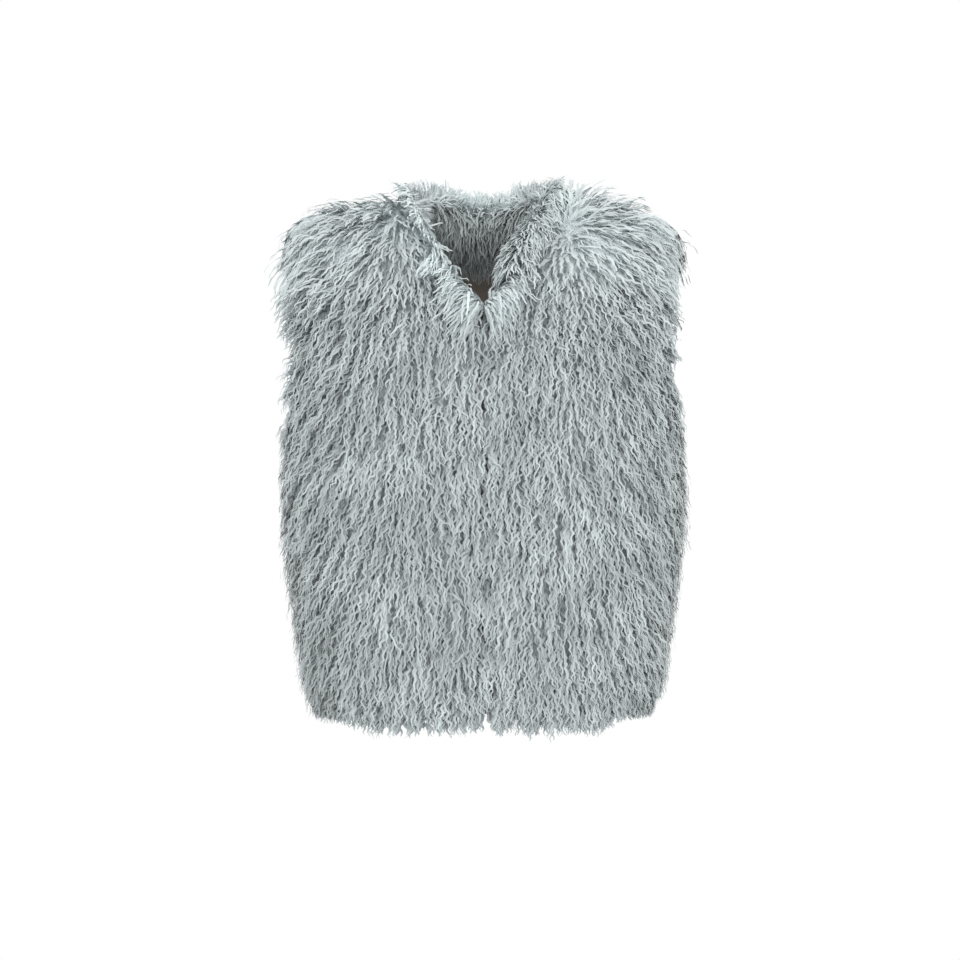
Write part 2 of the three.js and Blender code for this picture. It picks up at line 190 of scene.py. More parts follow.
@dataclass(frozen=True)
class VestCut:
    """The cut of the cloth, measured on its inner face."""

    neck_half_width: float = 0.075
    shoulder_slope: float = math.radians(13)
    underarm_height: float = -0.215
    hem_height: float = -0.498
    ring_power: float = 0.83
    front_neck: Neckline = Neckline(drop=0.105, width_power=0.86, drop_power=1.12)
    back_neck: Neckline = Neckline(drop=0.020, width_power=1.0, drop_power=2.4)
    neck_share: float = 10 / 22
    side_seam_share: float = 18 / 32
    armhole_tip_angle: float = 18
    armhole_bulge: float = 24
    armhole_roundness: float = 0.6
    armhole_rise: float = 1.45
    rings: tuple[Ring, ...] = (
        Ring(-0.498, 0.171, 0.110, 0.102),
        Ring(-0.430, 0.176, 0.114, 0.105),
        Ring(-0.350, 0.187, 0.118, 0.108),
        Ring(-0.290, 0.191, 0.119, 0.109),
        Ring(-0.215, 0.190, 0.118, 0.108),
    )
    pile: tuple[PileRow, ...] = (
        PileRow(-0.498, 0.019, 0.020),
        PileRow(-0.430, 0.022, 0.023),
        PileRow(-0.300, 0.022, 0.026),
        PileRow(-0.215, 0.022, 0.024),
        PileRow(-0.120, 0.023, 0.034),
        PileRow(-0.050, 0.026, 0.046),
        PileRow(0.000, 0.027, 0.040),
    )

    def ring_size(self, column: str, height: np.ndarray) -> np.ndarray:
        """Reads a column of the rings at some heights."""
        return read_table(self.rings, "height", column, height)

    def pile_size(self, column: str, height: np.ndarray) -> np.ndarray:
        """Reads a column of the pile's table at some heights."""
        return read_table(self.pile, "height", column, height)

    def shoulder_height(self, x: np.ndarray) -> np.ndarray:
        """Height of the shoulder line, which is level across the neck and then slopes down."""
        return -np.maximum(np.abs(x) - self.neck_half_width, 0) * math.tan(self.shoulder_slope)

    def shell_point(self, side: int, angle: np.ndarray, level: np.ndarray) -> np.ndarray:
        """Points of the cloth's inner face.

        Args:
            side: the sign of X.
            angle: degrees round the ring, from -90 at the centre front to 90 at the centre back.
            level: 0 at the hem, 1 at the underarm and 2 on the shoulder line.

        Returns:
            The points, as rows of x, y and z.
        """
        upper = np.radians(np.maximum(level - 1, 0) * 90)
        height = self.hem_height + (self.underarm_height - self.hem_height) * np.minimum(level, 1)
        sine, cosine = np.sin(np.radians(angle)), np.cos(np.radians(angle))
        across = np.sign(cosine) * np.abs(cosine) ** self.ring_power
        along = np.sign(sine) * np.abs(sine) ** self.ring_power
        front, back = self.ring_size("front_depth", height), self.ring_size("back_depth", height)
        x = self.ring_size("half_width", height) * across
        y = np.where(along < 0, front, back) * along * np.cos(upper)
        z = height + (self.shoulder_height(x) - self.underarm_height) * np.sin(upper)
        return np.stack([side * x, y, z], axis=-1)

    def shell_normal(self, side: int, angle: np.ndarray, level: np.ndarray) -> np.ndarray:
        """Outward normals of the cloth.

        Args:
            side: the sign of X.
            angle: degrees round the ring.
            level: 0 at the hem to 2 on the shoulder line.

        Returns:
            Normals of length 1.
        """
        half_turn, half_climb = 0.5, 0.01
        ahead, behind = (self.shell_point(side, angle + step, level) for step in (half_turn, -half_turn))
        above, below = (self.shell_point(side, angle, level + step) for step in (half_climb, -half_climb))
        return unit(np.cross(ahead - behind, above - below) * side)

    def neck_place(self, neckline: Neckline, share: np.ndarray) -> tuple[np.ndarray, np.ndarray]:
        """The neckline in ring angle and level, from the centre (0) to the shoulder seam (1).

        Args:
            neckline: the front or the back half of the neckline.
            share: places along it, from 0 to 1.

        Returns:
            The angle in degrees, 90 at the centre line, and the level.
        """
        sideways = np.sin(np.radians(np.clip(share, 0, 1) * 90))
        x = self.neck_half_width * sideways**neckline.width_power
        z = -neckline.drop * (1 - sideways**neckline.drop_power)
        across = np.minimum((x / self.rings[-1].half_width) ** (1 / self.ring_power), 1)
        climbed = (z - self.underarm_height) / (self.shoulder_height(x) - self.underarm_height)
        return np.degrees(np.arccos(across)), 1 + np.degrees(np.arcsin(np.minimum(climbed, 1))) / 90

    def side_place(self, share: np.ndarray) -> tuple[np.ndarray, np.ndarray]:
        """The side seam and armhole edge in ring angle and level, from the hem (0) to the tip (1).

        Args:
            share: places along them, from 0 to 1.

        Returns:
            The angle in degrees, 0 at the side, and the level.
        """
        seam = self.side_seam_share
        hole = np.clip((share - seam) / (1 - seam), 0, 1)
        bulge = self.armhole_bulge * np.sin(np.pi * hole) ** self.armhole_roundness
        angle = np.where(share <= seam, 0, self.armhole_tip_angle * hole + bulge)
        return angle, np.where(share <= seam, share / seam, 1 + hole**self.armhole_rise)


CUT = VestCut()


@dataclass
class Samples:
    """Places on a fur panel: the cloth there, and how its pile grows."""

    point: np.ndarray
    normal: np.ndarray
    growth: np.ndarray
    pile: np.ndarray
    roll: np.ndarray
    across: np.ndarray
    up: np.ndarray

    def turned(self) -> "Samples":
        """The same grid of samples with its columns the other way round."""
        return Samples(*(getattr(self, field.name)[:, ::-1] for field in fields(self)))

    def joined(self, right: "Samples") -> "Samples":
        """This grid with another at its right, where both have the column between them."""
        pairs = ((getattr(self, field.name), getattr(right, field.name)) for field in fields(self))
        return Samples(*(np.concatenate([mine[:, :-1], other], axis=1) for mine, other in pairs))


@dataclass(frozen=True)
class Patch:
    """Half a front or half the back, from the centre line (across 0) to the side (across 1).

    The pile rolls over at the hem and round the armhole, so that the fur hides both edges.
    """

    side: Side
    facing: Facing
    edge_steps: tuple[float, ...] = (0, 1, 2, 3)
    edge_roll: tuple[float, ...] = (1, 0.62, 0.28, 0)
    full_roll: float = math.radians(76)
    hem_step: float = 1 / 32
    side_step: float = 1 / 22
    opening_share: tuple[float, ...] = (0.72, 0.93, 1)
    pile_power: float = 1.2
    roll_growth: float = 2.5
    droop: float = 0.2
    tip_droop: float = 1.4
    tip_from: float = 0.4
    tip_growth: float = 1.8
    front_gap: float = 0.0012
    seam_gap: float = 0.0003

    def place(self, across: np.ndarray, up: np.ndarray) -> tuple[np.ndarray, np.ndarray]:
        """The ring angle (0 at the side, 90 at the centre line) and level of places on the patch.

        Args:
            across: 0 at the centre line and 1 at the side.
            up: 0 at the hem and 1 at the neck and the shoulder seam.

        Returns:
            The angle in degrees and the level, in the shape of across and up.
        """
        neckline = CUT.front_neck if self.facing is Facing.FRONT else CUT.back_neck
        share = CUT.neck_share
        neck_angle, neck_level = CUT.neck_place(neckline, across / share)
        seam_start = float(CUT.neck_place(neckline, np.array(1.0))[0])
        seam = np.clip((across - share) / (1 - share), 0, 1)
        on_neck = across < share
        top_angle = np.where(on_neck, neck_angle, seam_start + (CUT.armhole_tip_angle - seam_start) * seam)
        top_level = np.where(on_neck, neck_level, 2)
        edge_angle, edge_level = CUT.side_place(up)
        swing = np.maximum(across - share, 0) / (1 - share)
        angle = 90 * (1 - across) * (1 - up) + top_angle * up
        angle = angle + swing * (edge_angle - CUT.armhole_tip_angle * up)
        level = top_level * up + swing * (edge_level - 2 * up)
        return angle, level

    def sample(self, across: np.ndarray, up: np.ndarray, tilt: float | np.ndarray = 1.0) -> Samples:
        """Reads the cloth and its pile.

        Args:
            across: 0 at the centre line and 1 at the side.
            up: 0 at the hem and 1 at the neck and the shoulder seam.
            tilt: a factor on how far the pile rolls over at an edge.

        Returns:
            The samples, in the shape of across and up.
        """
        side, facing = self.side.value, self.facing.value
        angle, level = self.place(across, up)
        gap = self.front_gap * side / 2 if self.facing is Facing.FRONT else 0
        shift = np.array([gap, facing * self.seam_gap / 2, 0])
        point = CUT.shell_point(side, facing * angle, level) + shift
        normal = CUT.shell_normal(side, facing * angle, level)
        hole = (up - CUT.side_seam_share) / (1 - CUT.side_seam_share)
        side_roll = np.interp((1 - across) / self.side_step, self.edge_steps, self.edge_roll)
        side_roll = side_roll * smooth(hole * self.roll_growth)
        hem_roll = np.interp(up / self.hem_step, self.edge_steps, self.edge_roll)
        droop = self.droop + self.tip_droop * smooth((hole - self.tip_from) * self.tip_growth)
        sideways = unit(np.stack([np.full_like(droop, side), np.zeros_like(droop), -droop], axis=-1))
        by_hem = (hem_roll > side_roll)[..., None]
        roll = np.maximum(hem_roll, side_roll)
        lean = (roll * self.full_roll * tilt)[..., None]
        growth = unit(normal * np.cos(lean) + np.where(by_hem, -UP, sideways) * np.sin(lean))
        centre, edge = CUT.pile_size("centre", point[..., 2]), CUT.pile_size("side", point[..., 2])
        pile = centre + (edge - centre) * np.cos(np.radians(np.minimum(angle, 90))) ** self.pile_power
        if self.facing is Facing.FRONT:
            pile = pile * np.interp(across / self.side_step, (0, 1, 2), self.opening_share)
        return Samples(point, normal, growth, pile, roll, across, up)


def add_node(tree: bpy.types.NodeTree, kind: str, **values: object) -> bpy.types.Node:
    """Adds a node and sets its own values and its sockets' values.

    Args:
        tree: the node tree.
        kind: the node's type, such as ShaderNodeBump.
        values: a property of the node, or else a socket's name with _ for a space.

    Returns:
        The node.
    """
    node = tree.nodes.new(kind)
    for name, value in values.items():
        if hasattr(node, name):
            setattr(node, name, value)
        else:
            node.inputs[name.replace("_", " ")].default_value = value
    return node


def add_ramp(tree: bpy.types.NodeTree, stops: tuple[tuple[float, Colour], ...]) -> bpy.types.Node:
    """Adds a colour ramp with the given stops of place and colour.

    Args:
        tree: the node tree.
        stops: its places from 0 to 1, each with its colour.

    Returns:
        The ramp.
    """
    ramp = tree.nodes.new("ShaderNodeValToRGB")
    elements = ramp.color_ramp.elements
    while len(elements) < len(stops):
        elements.new(0.5)
    for element, (place, colour) in zip(elements, stops):
        element.position = place
        element.color = (*colour, 1)
    return ramp


@dataclass(frozen=True)
class Finish:
    """What every finish shares: a name, its gloss and a node material."""

    name: str
    roughness: float = 0.9
    specular: float = 0.5
    sheen: float = 0.0
    sheen_roughness: float = 0.5

    def material(self) -> bpy.types.Material:
        """Makes the material.

        Returns:
            The material, ready for a piece.
        """
        made = bpy.data.materials.new(self.name)
        made.use_nodes = True
        tree = made.node_tree
        shader = tree.nodes["Principled BSDF"]
        shader.inputs["Roughness"].default_value = self.roughness
        shader.inputs["Specular IOR Level"].default_value = self.specular
        shader.inputs["Sheen Weight"].default_value = self.sheen
        shader.inputs["Sheen Roughness"].default_value = self.sheen_roughness
        self.wire(tree, shader)
        return made

    def wire(self, tree: bpy.types.NodeTree, shader: bpy.types.Node) -> None:
        """Adds the finish's own nodes to the shader.

        Args:
            tree: the finish's node tree.
            shader: its shader.
        """
        raise NotImplementedError

    @staticmethod
    def scale_colour(tree: bpy.types.NodeTree, colour: bpy.types.NodeSocket, factor: bpy.types.NodeSocket,
                     shader: bpy.types.Node) -> None:
        """Makes a colour times a factor the shader's base colour.

        Args:
            tree: the node tree.
            colour: the colour's socket.
            factor: the factor's socket.
            shader: the shader.
        """
        scaled = add_node(tree, "ShaderNodeVectorMath", operation="SCALE")
        tree.links.new(colour, scaled.inputs["Vector"])
        tree.links.new(factor, scaled.inputs["Scale"])
        tree.links.new(scaled.outputs["Vector"], shader.inputs["Base Color"])

    @staticmethod
    def add_bump(tree: bpy.types.NodeTree, height: bpy.types.NodeSocket, strength: float, distance: float,
                 shader: bpy.types.Node) -> None:
        """Gives the shader a bump that follows a height.

        Args:
            tree: the node tree.
            height: the height's socket.
            strength: how strong the bump is, from 0 to 1.
            distance: how high it stands, in metres.
            shader: the shader.
        """
        bump = add_node(tree, "ShaderNodeBump", Strength=strength, Distance=distance)
        tree.links.new(height, bump.inputs["Height"])
        tree.links.new(bump.outputs["Normal"], shader.inputs["Normal"])


@dataclass(frozen=True)
class PileFinish(Finish):
    """Crimped acrylic pile, darker towards the root as painted shade deep in the pile and pale at the tip,
    with fine fibres along each strand.
    """

    # Painted shade: the root and body colours are darker than the tip, for the shade deep in the pile.
    root: Colour = (0.350, 0.390, 0.396)
    body: Colour = (0.440, 0.489, 0.496)
    tip: Colour = (0.510, 0.564, 0.570)
    reaches: tuple[float, float, float] = (0.0, 0.42, 0.85)
    dimmest: float = 0.60
    brightest: float = 1.34
    patch_scale: float = 17.0
    dim_patch: float = 0.86
    bright_patch: float = 1.10
    fibres: float = 5.0
    roughness: float = 0.85
    specular: float = 0.2
    sheen: float = 0.25
    sheen_roughness: float = 0.6

    def wire(self, tree: bpy.types.NodeTree, shader: bpy.types.Node) -> None:
        """Colours the strands by their reach and tone, and gives them fibres.

        Args:
            tree: the finish's node tree.
            shader: its shader.
        """
        link = tree.links.new
        reach = add_node(tree, "ShaderNodeAttribute", attribute_name="reach")
        tone = add_node(tree, "ShaderNodeAttribute", attribute_name="tone")
        ramp = add_ramp(tree, tuple(zip(self.reaches, (self.root, self.body, self.tip))))
        link(reach.outputs["Fac"], ramp.inputs["Fac"])
        place = tree.nodes.new("ShaderNodeTexCoord")
        drift = add_node(tree, "ShaderNodeTexNoise", Scale=self.patch_scale, Detail=3.0)
        link(place.outputs["Object"], drift.inputs["Vector"])
        bright = add_node(tree, "ShaderNodeMapRange", To_Min=self.dimmest, To_Max=self.brightest)
        link(tone.outputs["Fac"], bright.inputs["Value"])
        patchy = add_node(tree, "ShaderNodeMapRange", From_Min=0.3, From_Max=0.7,
                          To_Min=self.dim_patch, To_Max=self.bright_patch)
        link(drift.outputs["Fac"], patchy.inputs["Value"])
        both = add_node(tree, "ShaderNodeMath", operation="MULTIPLY")
        link(bright.outputs["Result"], both.inputs[0])
        link(patchy.outputs["Result"], both.inputs[1])
        self.scale_colour(tree, ramp.outputs["Color"], both.outputs["Value"], shader)
        fibre = add_node(tree, "ShaderNodeTexWave", wave_type="BANDS", bands_direction="X",
                         Scale=self.fibres, Distortion=1.5, Detail=1.0)
        link(place.outputs["UV"], fibre.inputs["Vector"])
        self.add_bump(tree, fibre.outputs["Fac"], 0.2, 0.0004, shader)


@dataclass(frozen=True)
class UndercoatFinish(Finish):
    """The soft underfur between the locks, darker than the pile as painted shade for the gaps between them.
    """

    shade: Colour = (0.205, 0.231, 0.238)
    light: Colour = (0.350, 0.392, 0.400)
    shade_at: float = 0.40
    light_at: float = 0.60
    painted_light_and_shade_gain: float = 1.75
    streak_scale: float = 620.0
    streak_stretch: float = 0.22
    sheen: float = 0.2

    def wire(self, tree: bpy.types.NodeTree, shader: bpy.types.Node) -> None:
        """Adds upright streaks of fibre in colour and bump.

        Args:
            tree: the finish's node tree.
            shader: its shader.
        """
        link = tree.links.new
        place = tree.nodes.new("ShaderNodeTexCoord")
        stretch = tree.nodes.new("ShaderNodeMapping")
        stretch.inputs["Scale"].default_value = (1, 1, self.streak_stretch)
        link(place.outputs["Object"], stretch.inputs["Vector"])
        streaks = add_node(tree, "ShaderNodeTexNoise", Scale=self.streak_scale, Detail=2.0)
        link(stretch.outputs["Vector"], streaks.inputs["Vector"])
        ramp = add_ramp(tree, ((self.shade_at, self.shade), (self.light_at, self.light)))
        link(streaks.outputs["Fac"], ramp.inputs["Fac"])
        # Painted light and shade: the pale value lightens the undercoat over the shoulders and on the
        # collar's outside, darkens it down the front opening, and leaves it darker inside the collar behind
        # the neck.
        pale = add_node(tree, "ShaderNodeAttribute", attribute_name="pale")
        gain = add_node(tree, "ShaderNodeMapRange", From_Min=-1.0, To_Min=2 - self.painted_light_and_shade_gain,
                        To_Max=self.painted_light_and_shade_gain)
        link(pale.outputs["Fac"], gain.inputs["Value"])
        self.scale_colour(tree, ramp.outputs["Color"], gain.outputs["Result"], shader)
        self.add_bump(tree, streaks.outputs["Fac"], 0.8, 0.002, shader)


@dataclass(frozen=True)
class KnitFinish(Finish):
    """The knit backing cloth of the fur."""

    yarn: Colour = (0.38, 0.41, 0.42)
    gap: Colour = (0.20, 0.22, 0.23)
    rib_scale: float = 260.0
    loop_scale: float = 182.0

    def wire(self, tree: bpy.types.NodeTree, shader: bpy.types.Node) -> None:
        """Adds the knit's ribs and cross loops.

        Args:
            tree: the finish's node tree.
            shader: its shader.
        """
        link = tree.links.new
        place = tree.nodes.new("ShaderNodeTexCoord")
        both = add_node(tree, "ShaderNodeMath", operation="MULTIPLY")
        for number, (axis, scale) in enumerate((("X", self.rib_scale), ("Z", self.loop_scale))):
            wave = add_node(tree, "ShaderNodeTexWave", bands_direction=axis, Scale=scale, Distortion=2.0)
            link(place.outputs["Object"], wave.inputs["Vector"])
            link(wave.outputs["Fac"], both.inputs[number])
        ramp = add_ramp(tree, ((0.1, self.gap), (0.6, self.yarn)))
        link(both.outputs["Value"], ramp.inputs["Fac"])
        link(ramp.outputs["Color"], shader.inputs["Base Color"])
        self.add_bump(tree, both.outputs["Value"], 0.4, 0.0006, shader)


@dataclass(frozen=True)
class SatinFinish(Finish):
    """The smooth brown-grey lining, a fine twill with a soft gloss."""

    base: Colour = (0.225, 0.194, 0.165)
    light: Colour = (0.310, 0.272, 0.236)
    twill_scale: float = 900.0
    roughness: float = 0.6
    specular: float = 0.3
    sheen: float = 0.25

    def wire(self, tree: bpy.types.NodeTree, shader: bpy.types.Node) -> None:
        """Adds the twill's lines and slow changes of colour.

        Args:
            tree: the finish's node tree.
            shader: its shader.
        """
        link = tree.links.new
        place = tree.nodes.new("ShaderNodeTexCoord")
        drift = add_node(tree, "ShaderNodeTexNoise", Scale=9.0, Detail=3.0)
        link(place.outputs["Object"], drift.inputs["Vector"])
        ramp = add_ramp(tree, ((0.3, self.base), (0.7, self.light)))
        link(drift.outputs["Fac"], ramp.inputs["Fac"])
        link(ramp.outputs["Color"], shader.inputs["Base Color"])
        twill = add_node(tree, "ShaderNodeTexWave", bands_direction="DIAGONAL", Scale=self.twill_scale)
        link(place.outputs["Object"], twill.inputs["Vector"])
        self.add_bump(tree, twill.outputs["Fac"], 0.12, 0.0002, shader)


def make_object(name: str, points: np.ndarray, faces: np.ndarray) -> bpy.types.Object:
    """Makes a smooth mesh object that rides on the vest.

    Args:
        name: the piece's name.
        points: its points, one row each.
        faces: its quads, as rows of four point numbers.

    Returns:
        The object, linked to the scene.
    """
    mesh = bpy.data.meshes.new(name)
    mesh.vertices.add(len(points))
    mesh.vertices.foreach_set("co", points.astype(np.float32).ravel())
    mesh.loops.add(faces.size)
    mesh.loops.foreach_set("vertex_index", faces.astype(np.int32).ravel())
    mesh.polygons.add(len(faces))
    mesh.polygons.foreach_set("loop_start", np.arange(0, faces.size, 4, dtype=np.int32))
    mesh.update(calc_edges=True)
    mesh.shade_smooth()
    piece = bpy.data.objects.new(name, mesh)
    bpy.context.scene.collection.objects.link(piece)
    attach(piece, BODY)
    return piece


def add_value(piece: bpy.types.Object, name: str, values: np.ndarray) -> None:
    """Stores one number for each point of a piece's mesh, for its finish to read."""
    stored = piece.data.attributes.new(name, "FLOAT", "POINT")
    stored.data.foreach_set("value", values.astype(np.float32).ravel())


def wall_faces(rows: int, columns: int) -> np.ndarray:
    """Quads of a closed wall between two grids of points, the outer grid's points first.

    Args:
        rows: points up the wall.
        columns: points across it.

    Returns:
        The quads, as rows of four point numbers.
    """
    number = np.arange(rows * columns).reshape(rows, columns)
    inner = number + rows * columns
    sheet = np.stack([number[:-1, :-1], number[:-1, 1:], number[1:, 1:], number[1:, :-1]], axis=-1)
    sheet = sheet.reshape(-1, 4)
    rims = []
    for line in (number[0], number[:, -1], number[-1, ::-1], number[::-1, 0]):
        inside = line + rows * columns
        rims.append(np.stack([line[1:], line[:-1], inside[:-1], inside[1:]], axis=-1))
    return np.concatenate([sheet, sheet[:, ::-1] + inner[0, 0], *rims])


def make_wall(name: str, outer: np.ndarray, inner: np.ndarray) -> bpy.types.Object:
    """Makes a closed wall from two grids of points whose columns run to the viewer's right.

    Args:
        name: the piece's name.
        outer: the outer face's points.
        inner: the inner face's points.

    Returns:
        The object, linked to the scene.
    """
    rows, columns = outer.shape[:2]
    points = np.concatenate([outer.reshape(-1, 3), inner.reshape(-1, 3)])
    return make_object(name, points, wall_faces(rows, columns))


@dataclass
class Strands:
    """Ribbons of fur: a spine of points each, which way it is wide, how wide, and its tone.

    Pale is how much of the way from the dark root, which is painted shade, to the pale tip a ribbon's colour
    starts at.
    """

    spine: np.ndarray
    wide: np.ndarray
    width: np.ndarray
    tone: np.ndarray
    pale: np.ndarray

    def build(self, name: str, finish: bpy.types.Material) -> bpy.types.Object:
        """Makes one object of all the ribbons, with the values that the finish reads.

        Args:
            name: the piece's name.
            finish: the pile's material.

        Returns:
            The object, linked to the scene.
        """
        count, steps = self.spine.shape[:2]
        half = self.wide * (self.width / 2)[..., None]
        points = np.stack([self.spine - half, self.spine + half], axis=2)
        start = (np.arange(count)[:, None] * steps + np.arange(steps - 1)) * 2
        faces = np.stack([start, start + 1, start + 3, start + 2], axis=-1).reshape(-1, 4)
        piece = make_object(name, points.reshape(-1, 3), faces)
        along = np.broadcast_to(np.linspace(0, 1, steps)[None, :, None], (count, steps, 2))
        pale = self.pale[:, None, None]
        add_value(piece, "reach", pale + (1 - pale) * along)
        add_value(piece, "tone", np.broadcast_to(self.tone[:, None, None], (count, steps, 2)))
        over = np.broadcast_to(np.array([0.0, 1.0]), (count, steps, 2))
        uv = np.stack([over, along], axis=-1).reshape(-1, 2)
        layer = piece.data.uv_layers.new(name="strand")
        layer.data.foreach_set("uv", uv[faces.ravel()].astype(np.float32).ravel())
        piece.data.materials.append(finish)
        return piece


@dataclass(frozen=True)
class Crimp:
    """How a strand is made: its steps, the wave that crimps it, and its width along its length."""

    steps: int = 11
    wave: float = 0.0100
    swing: float = 0.0013
    swing_growth: float = 2.6
    width_growth: float = 4.0
    depth: float = 0.5
    width: float = 0.0029
    width_spread: tuple[float, float] = (0.65, 1.25)
    root_width: float = 0.6
    tip_loss: float = 0.75
    twist: float = 0.22
    tilt: float = 0.18
    bow: float = 0.0022
    bow_turns: tuple[float, float] = (0.6, 1.6)

    def curl(self, spine: np.ndarray, normal: np.ndarray, phase: np.ndarray, size: np.ndarray,
             rng: np.random.Generator) -> tuple[np.ndarray, np.ndarray, np.ndarray]:
        """Crimps smooth spines and gives their ribbons.

        Args:
            spine: smooth spines, as rows of points.
            normal: a direction off the cloth for each spine.
            phase: where the wave starts on each spine, in radians.
            size: a factor on each spine's swing.
            rng: the panel's random numbers.

        Returns:
            The crimped spines, the directions in which the ribbons are wide, and their widths.
        """
        count, steps = spine.shape[:2]
        t = np.linspace(0, 1, steps)[None, :]
        heading = unit(np.gradient(spine, axis=1))
        sideways = unit(np.cross(heading, normal[:, None, :]))
        off = unit(np.cross(sideways, heading))
        gone = np.linalg.norm(np.diff(spine, axis=1), axis=-1)
        gone = np.concatenate([np.zeros((count, 1)), np.cumsum(gone, axis=1)], axis=1)
        turn = 2 * np.pi * gone / self.wave + phase[:, None]
        swing = self.swing * size[:, None] * smooth(t * self.swing_growth)
        bow = rng.normal(0, self.bow, (count, 1))
        bow = bow * np.sin(np.pi * t * rng.uniform(*self.bow_turns, (count, 1)))
        crimped = (spine + sideways * (swing * np.sin(turn) + bow)[..., None]
                   + off * (self.depth * swing * np.cos(turn))[..., None])
        twist = rng.uniform(-self.tilt, self.tilt, (count, 1)) + self.twist * np.sin(0.5 * turn)
        wide = sideways * np.cos(twist)[..., None] + off * np.sin(twist)[..., None]
        taper = self.root_width + (1 - self.root_width) * smooth(t * self.width_growth)
        taper = taper * (1 - self.tip_loss * t**3)
        width = self.width * rng.uniform(*self.width_spread, (count, 1)) * taper
        return crimped, wide, width


@dataclass
class LockMembers:
    """Which lock each strand belongs to, and how far from its middle it is: sideways and along."""

    lock: np.ndarray
    beside: np.ndarray
    ahead: np.ndarray

    @staticmethod
    def find(points: np.ndarray, along: np.ndarray, sideways: np.ndarray, centres: np.ndarray,
             near: int = 12, slimness: float = 0.35) -> "LockMembers":
        """Puts each strand in the nearest lock, where locks are long and slim.

        Args:
            points: the strands' roots.
            along: the way that the pile lies at each root.
            sideways: the direction across that.
            centres: the locks' middles.
            near: how many locks are compared for each strand.
            slimness: how much a distance along the pile counts against one across it.

        Returns:
            The strands' locks and their places in them.
        """
        tree = KDTree(len(centres))
        for number, centre in enumerate(centres):
            tree.insert(centre, number)
        tree.balance()
        close = np.array([[found[1] for found in tree.find_n(point, near)] for point in points])
        gap = points[:, None, :] - centres[close]
        beside = np.sum(gap * sideways[:, None, :], axis=-1)
        ahead = np.sum(gap * along[:, None, :], axis=-1)
        rest = np.sum(gap * gap, axis=-1) - beside**2 - ahead**2
        best = np.argmin(beside**2 + (slimness * ahead) ** 2 + rest, axis=1)
        row = np.arange(len(points))
        return LockMembers(close[row, best], beside[row, best], ahead[row, best])

    def vary(self, rng: np.random.Generator, locks: int, spread: tuple[float, float],
             loose: float | np.ndarray = 1.0) -> np.ndarray:
        """Random values around 0 that are alike within a lock.

        Args:
            rng: the panel's random numbers.
            locks: how many locks there are.
            spread: how far the values spread between locks, and within one.
            loose: a factor on the spread within a lock.

        Returns:
            A value for each strand.
        """
        return rng.normal(0, spread[0], locks)[self.lock] + rng.normal(0, spread[1], len(self.lock)) * loose

    def draw_in(self, spines: np.ndarray, sideways: np.ndarray, inwards: np.ndarray, pull: np.ndarray,
                sink: np.ndarray, half_width: float = 0.005) -> np.ndarray:
        """Draws strands sideways towards the middle of their lock, and sinks those at its edges.

        Args:
            spines: smooth spines, as rows of points.
            sideways: the direction across the pile at each root.
            inwards: the direction towards the cloth.
            pull: the share of its sideways distance that each strand loses by its tip.
            sink: how far a strand at a lock's edge sinks by its tip, in metres.
            half_width: half of a lock's usual width.

        Returns:
            The drawn spines.
        """
        t = smooth(np.linspace(0, 1, spines.shape[1]) * 1.2)[None, :, None]
        move = -sideways * (self.beside * pull)[:, None]
        drop = inwards * (sink * np.minimum(np.abs(self.beside) / half_width, 1) ** 2)[:, None]
        return spines + (move + drop)[:, None, :] * t


def scatter_places(area: Callable[[np.ndarray, np.ndarray], np.ndarray], count: int, rng: np.random.Generator,
                   cells: tuple[int, int] = (44, 72)) -> tuple[np.ndarray, np.ndarray]:
    """Scatters places evenly over a surface.

    Args:
        area: gives the surface's points at two grids of parameters from 0 to 1.
        count: how many places.
        rng: the panel's random numbers.
        cells: how finely the surface is measured, in its two parameters.

    Returns:
        The places' two parameters.
    """
    first, second = np.meshgrid(np.linspace(0, 1, cells[0] + 1), np.linspace(0, 1, cells[1] + 1))
    grid = area(first, second)
    one, two = grid[1:, 1:] - grid[:-1, :-1], grid[1:, :-1] - grid[:-1, 1:]
    share = np.cumsum(np.linalg.norm(np.cross(one, two), axis=-1).ravel())
    picks = (np.arange(count) + rng.uniform(0, 1, count)) / count * share[-1]
    cell = np.minimum(np.searchsorted(share, picks), share.size - 1)
    row, column = cell // cells[0], cell % cells[0]
    return ((column + rng.uniform(0, 1, count)) / cells[0], (row + rng.uniform(0, 1, count)) / cells[1])


@dataclass(frozen=True)
class Variety:
    """How strands differ: a pair is a spread between locks and within one, or a least and a most."""

    turn: tuple[float, float] = (0.16, 0.18)
    tip_by_lock: float = 0.09
    tip: tuple[float, float] = (0.70, 1.08)
    lay: tuple[float, float] = (0.7, 1.15)
    pull: tuple[float, float] = (0.4, 0.9)
    phase: float = 0.9
    swing: tuple[float, float] = (0.5, 1.4)
    tone: tuple[float, float] = (0.08, 0.05)


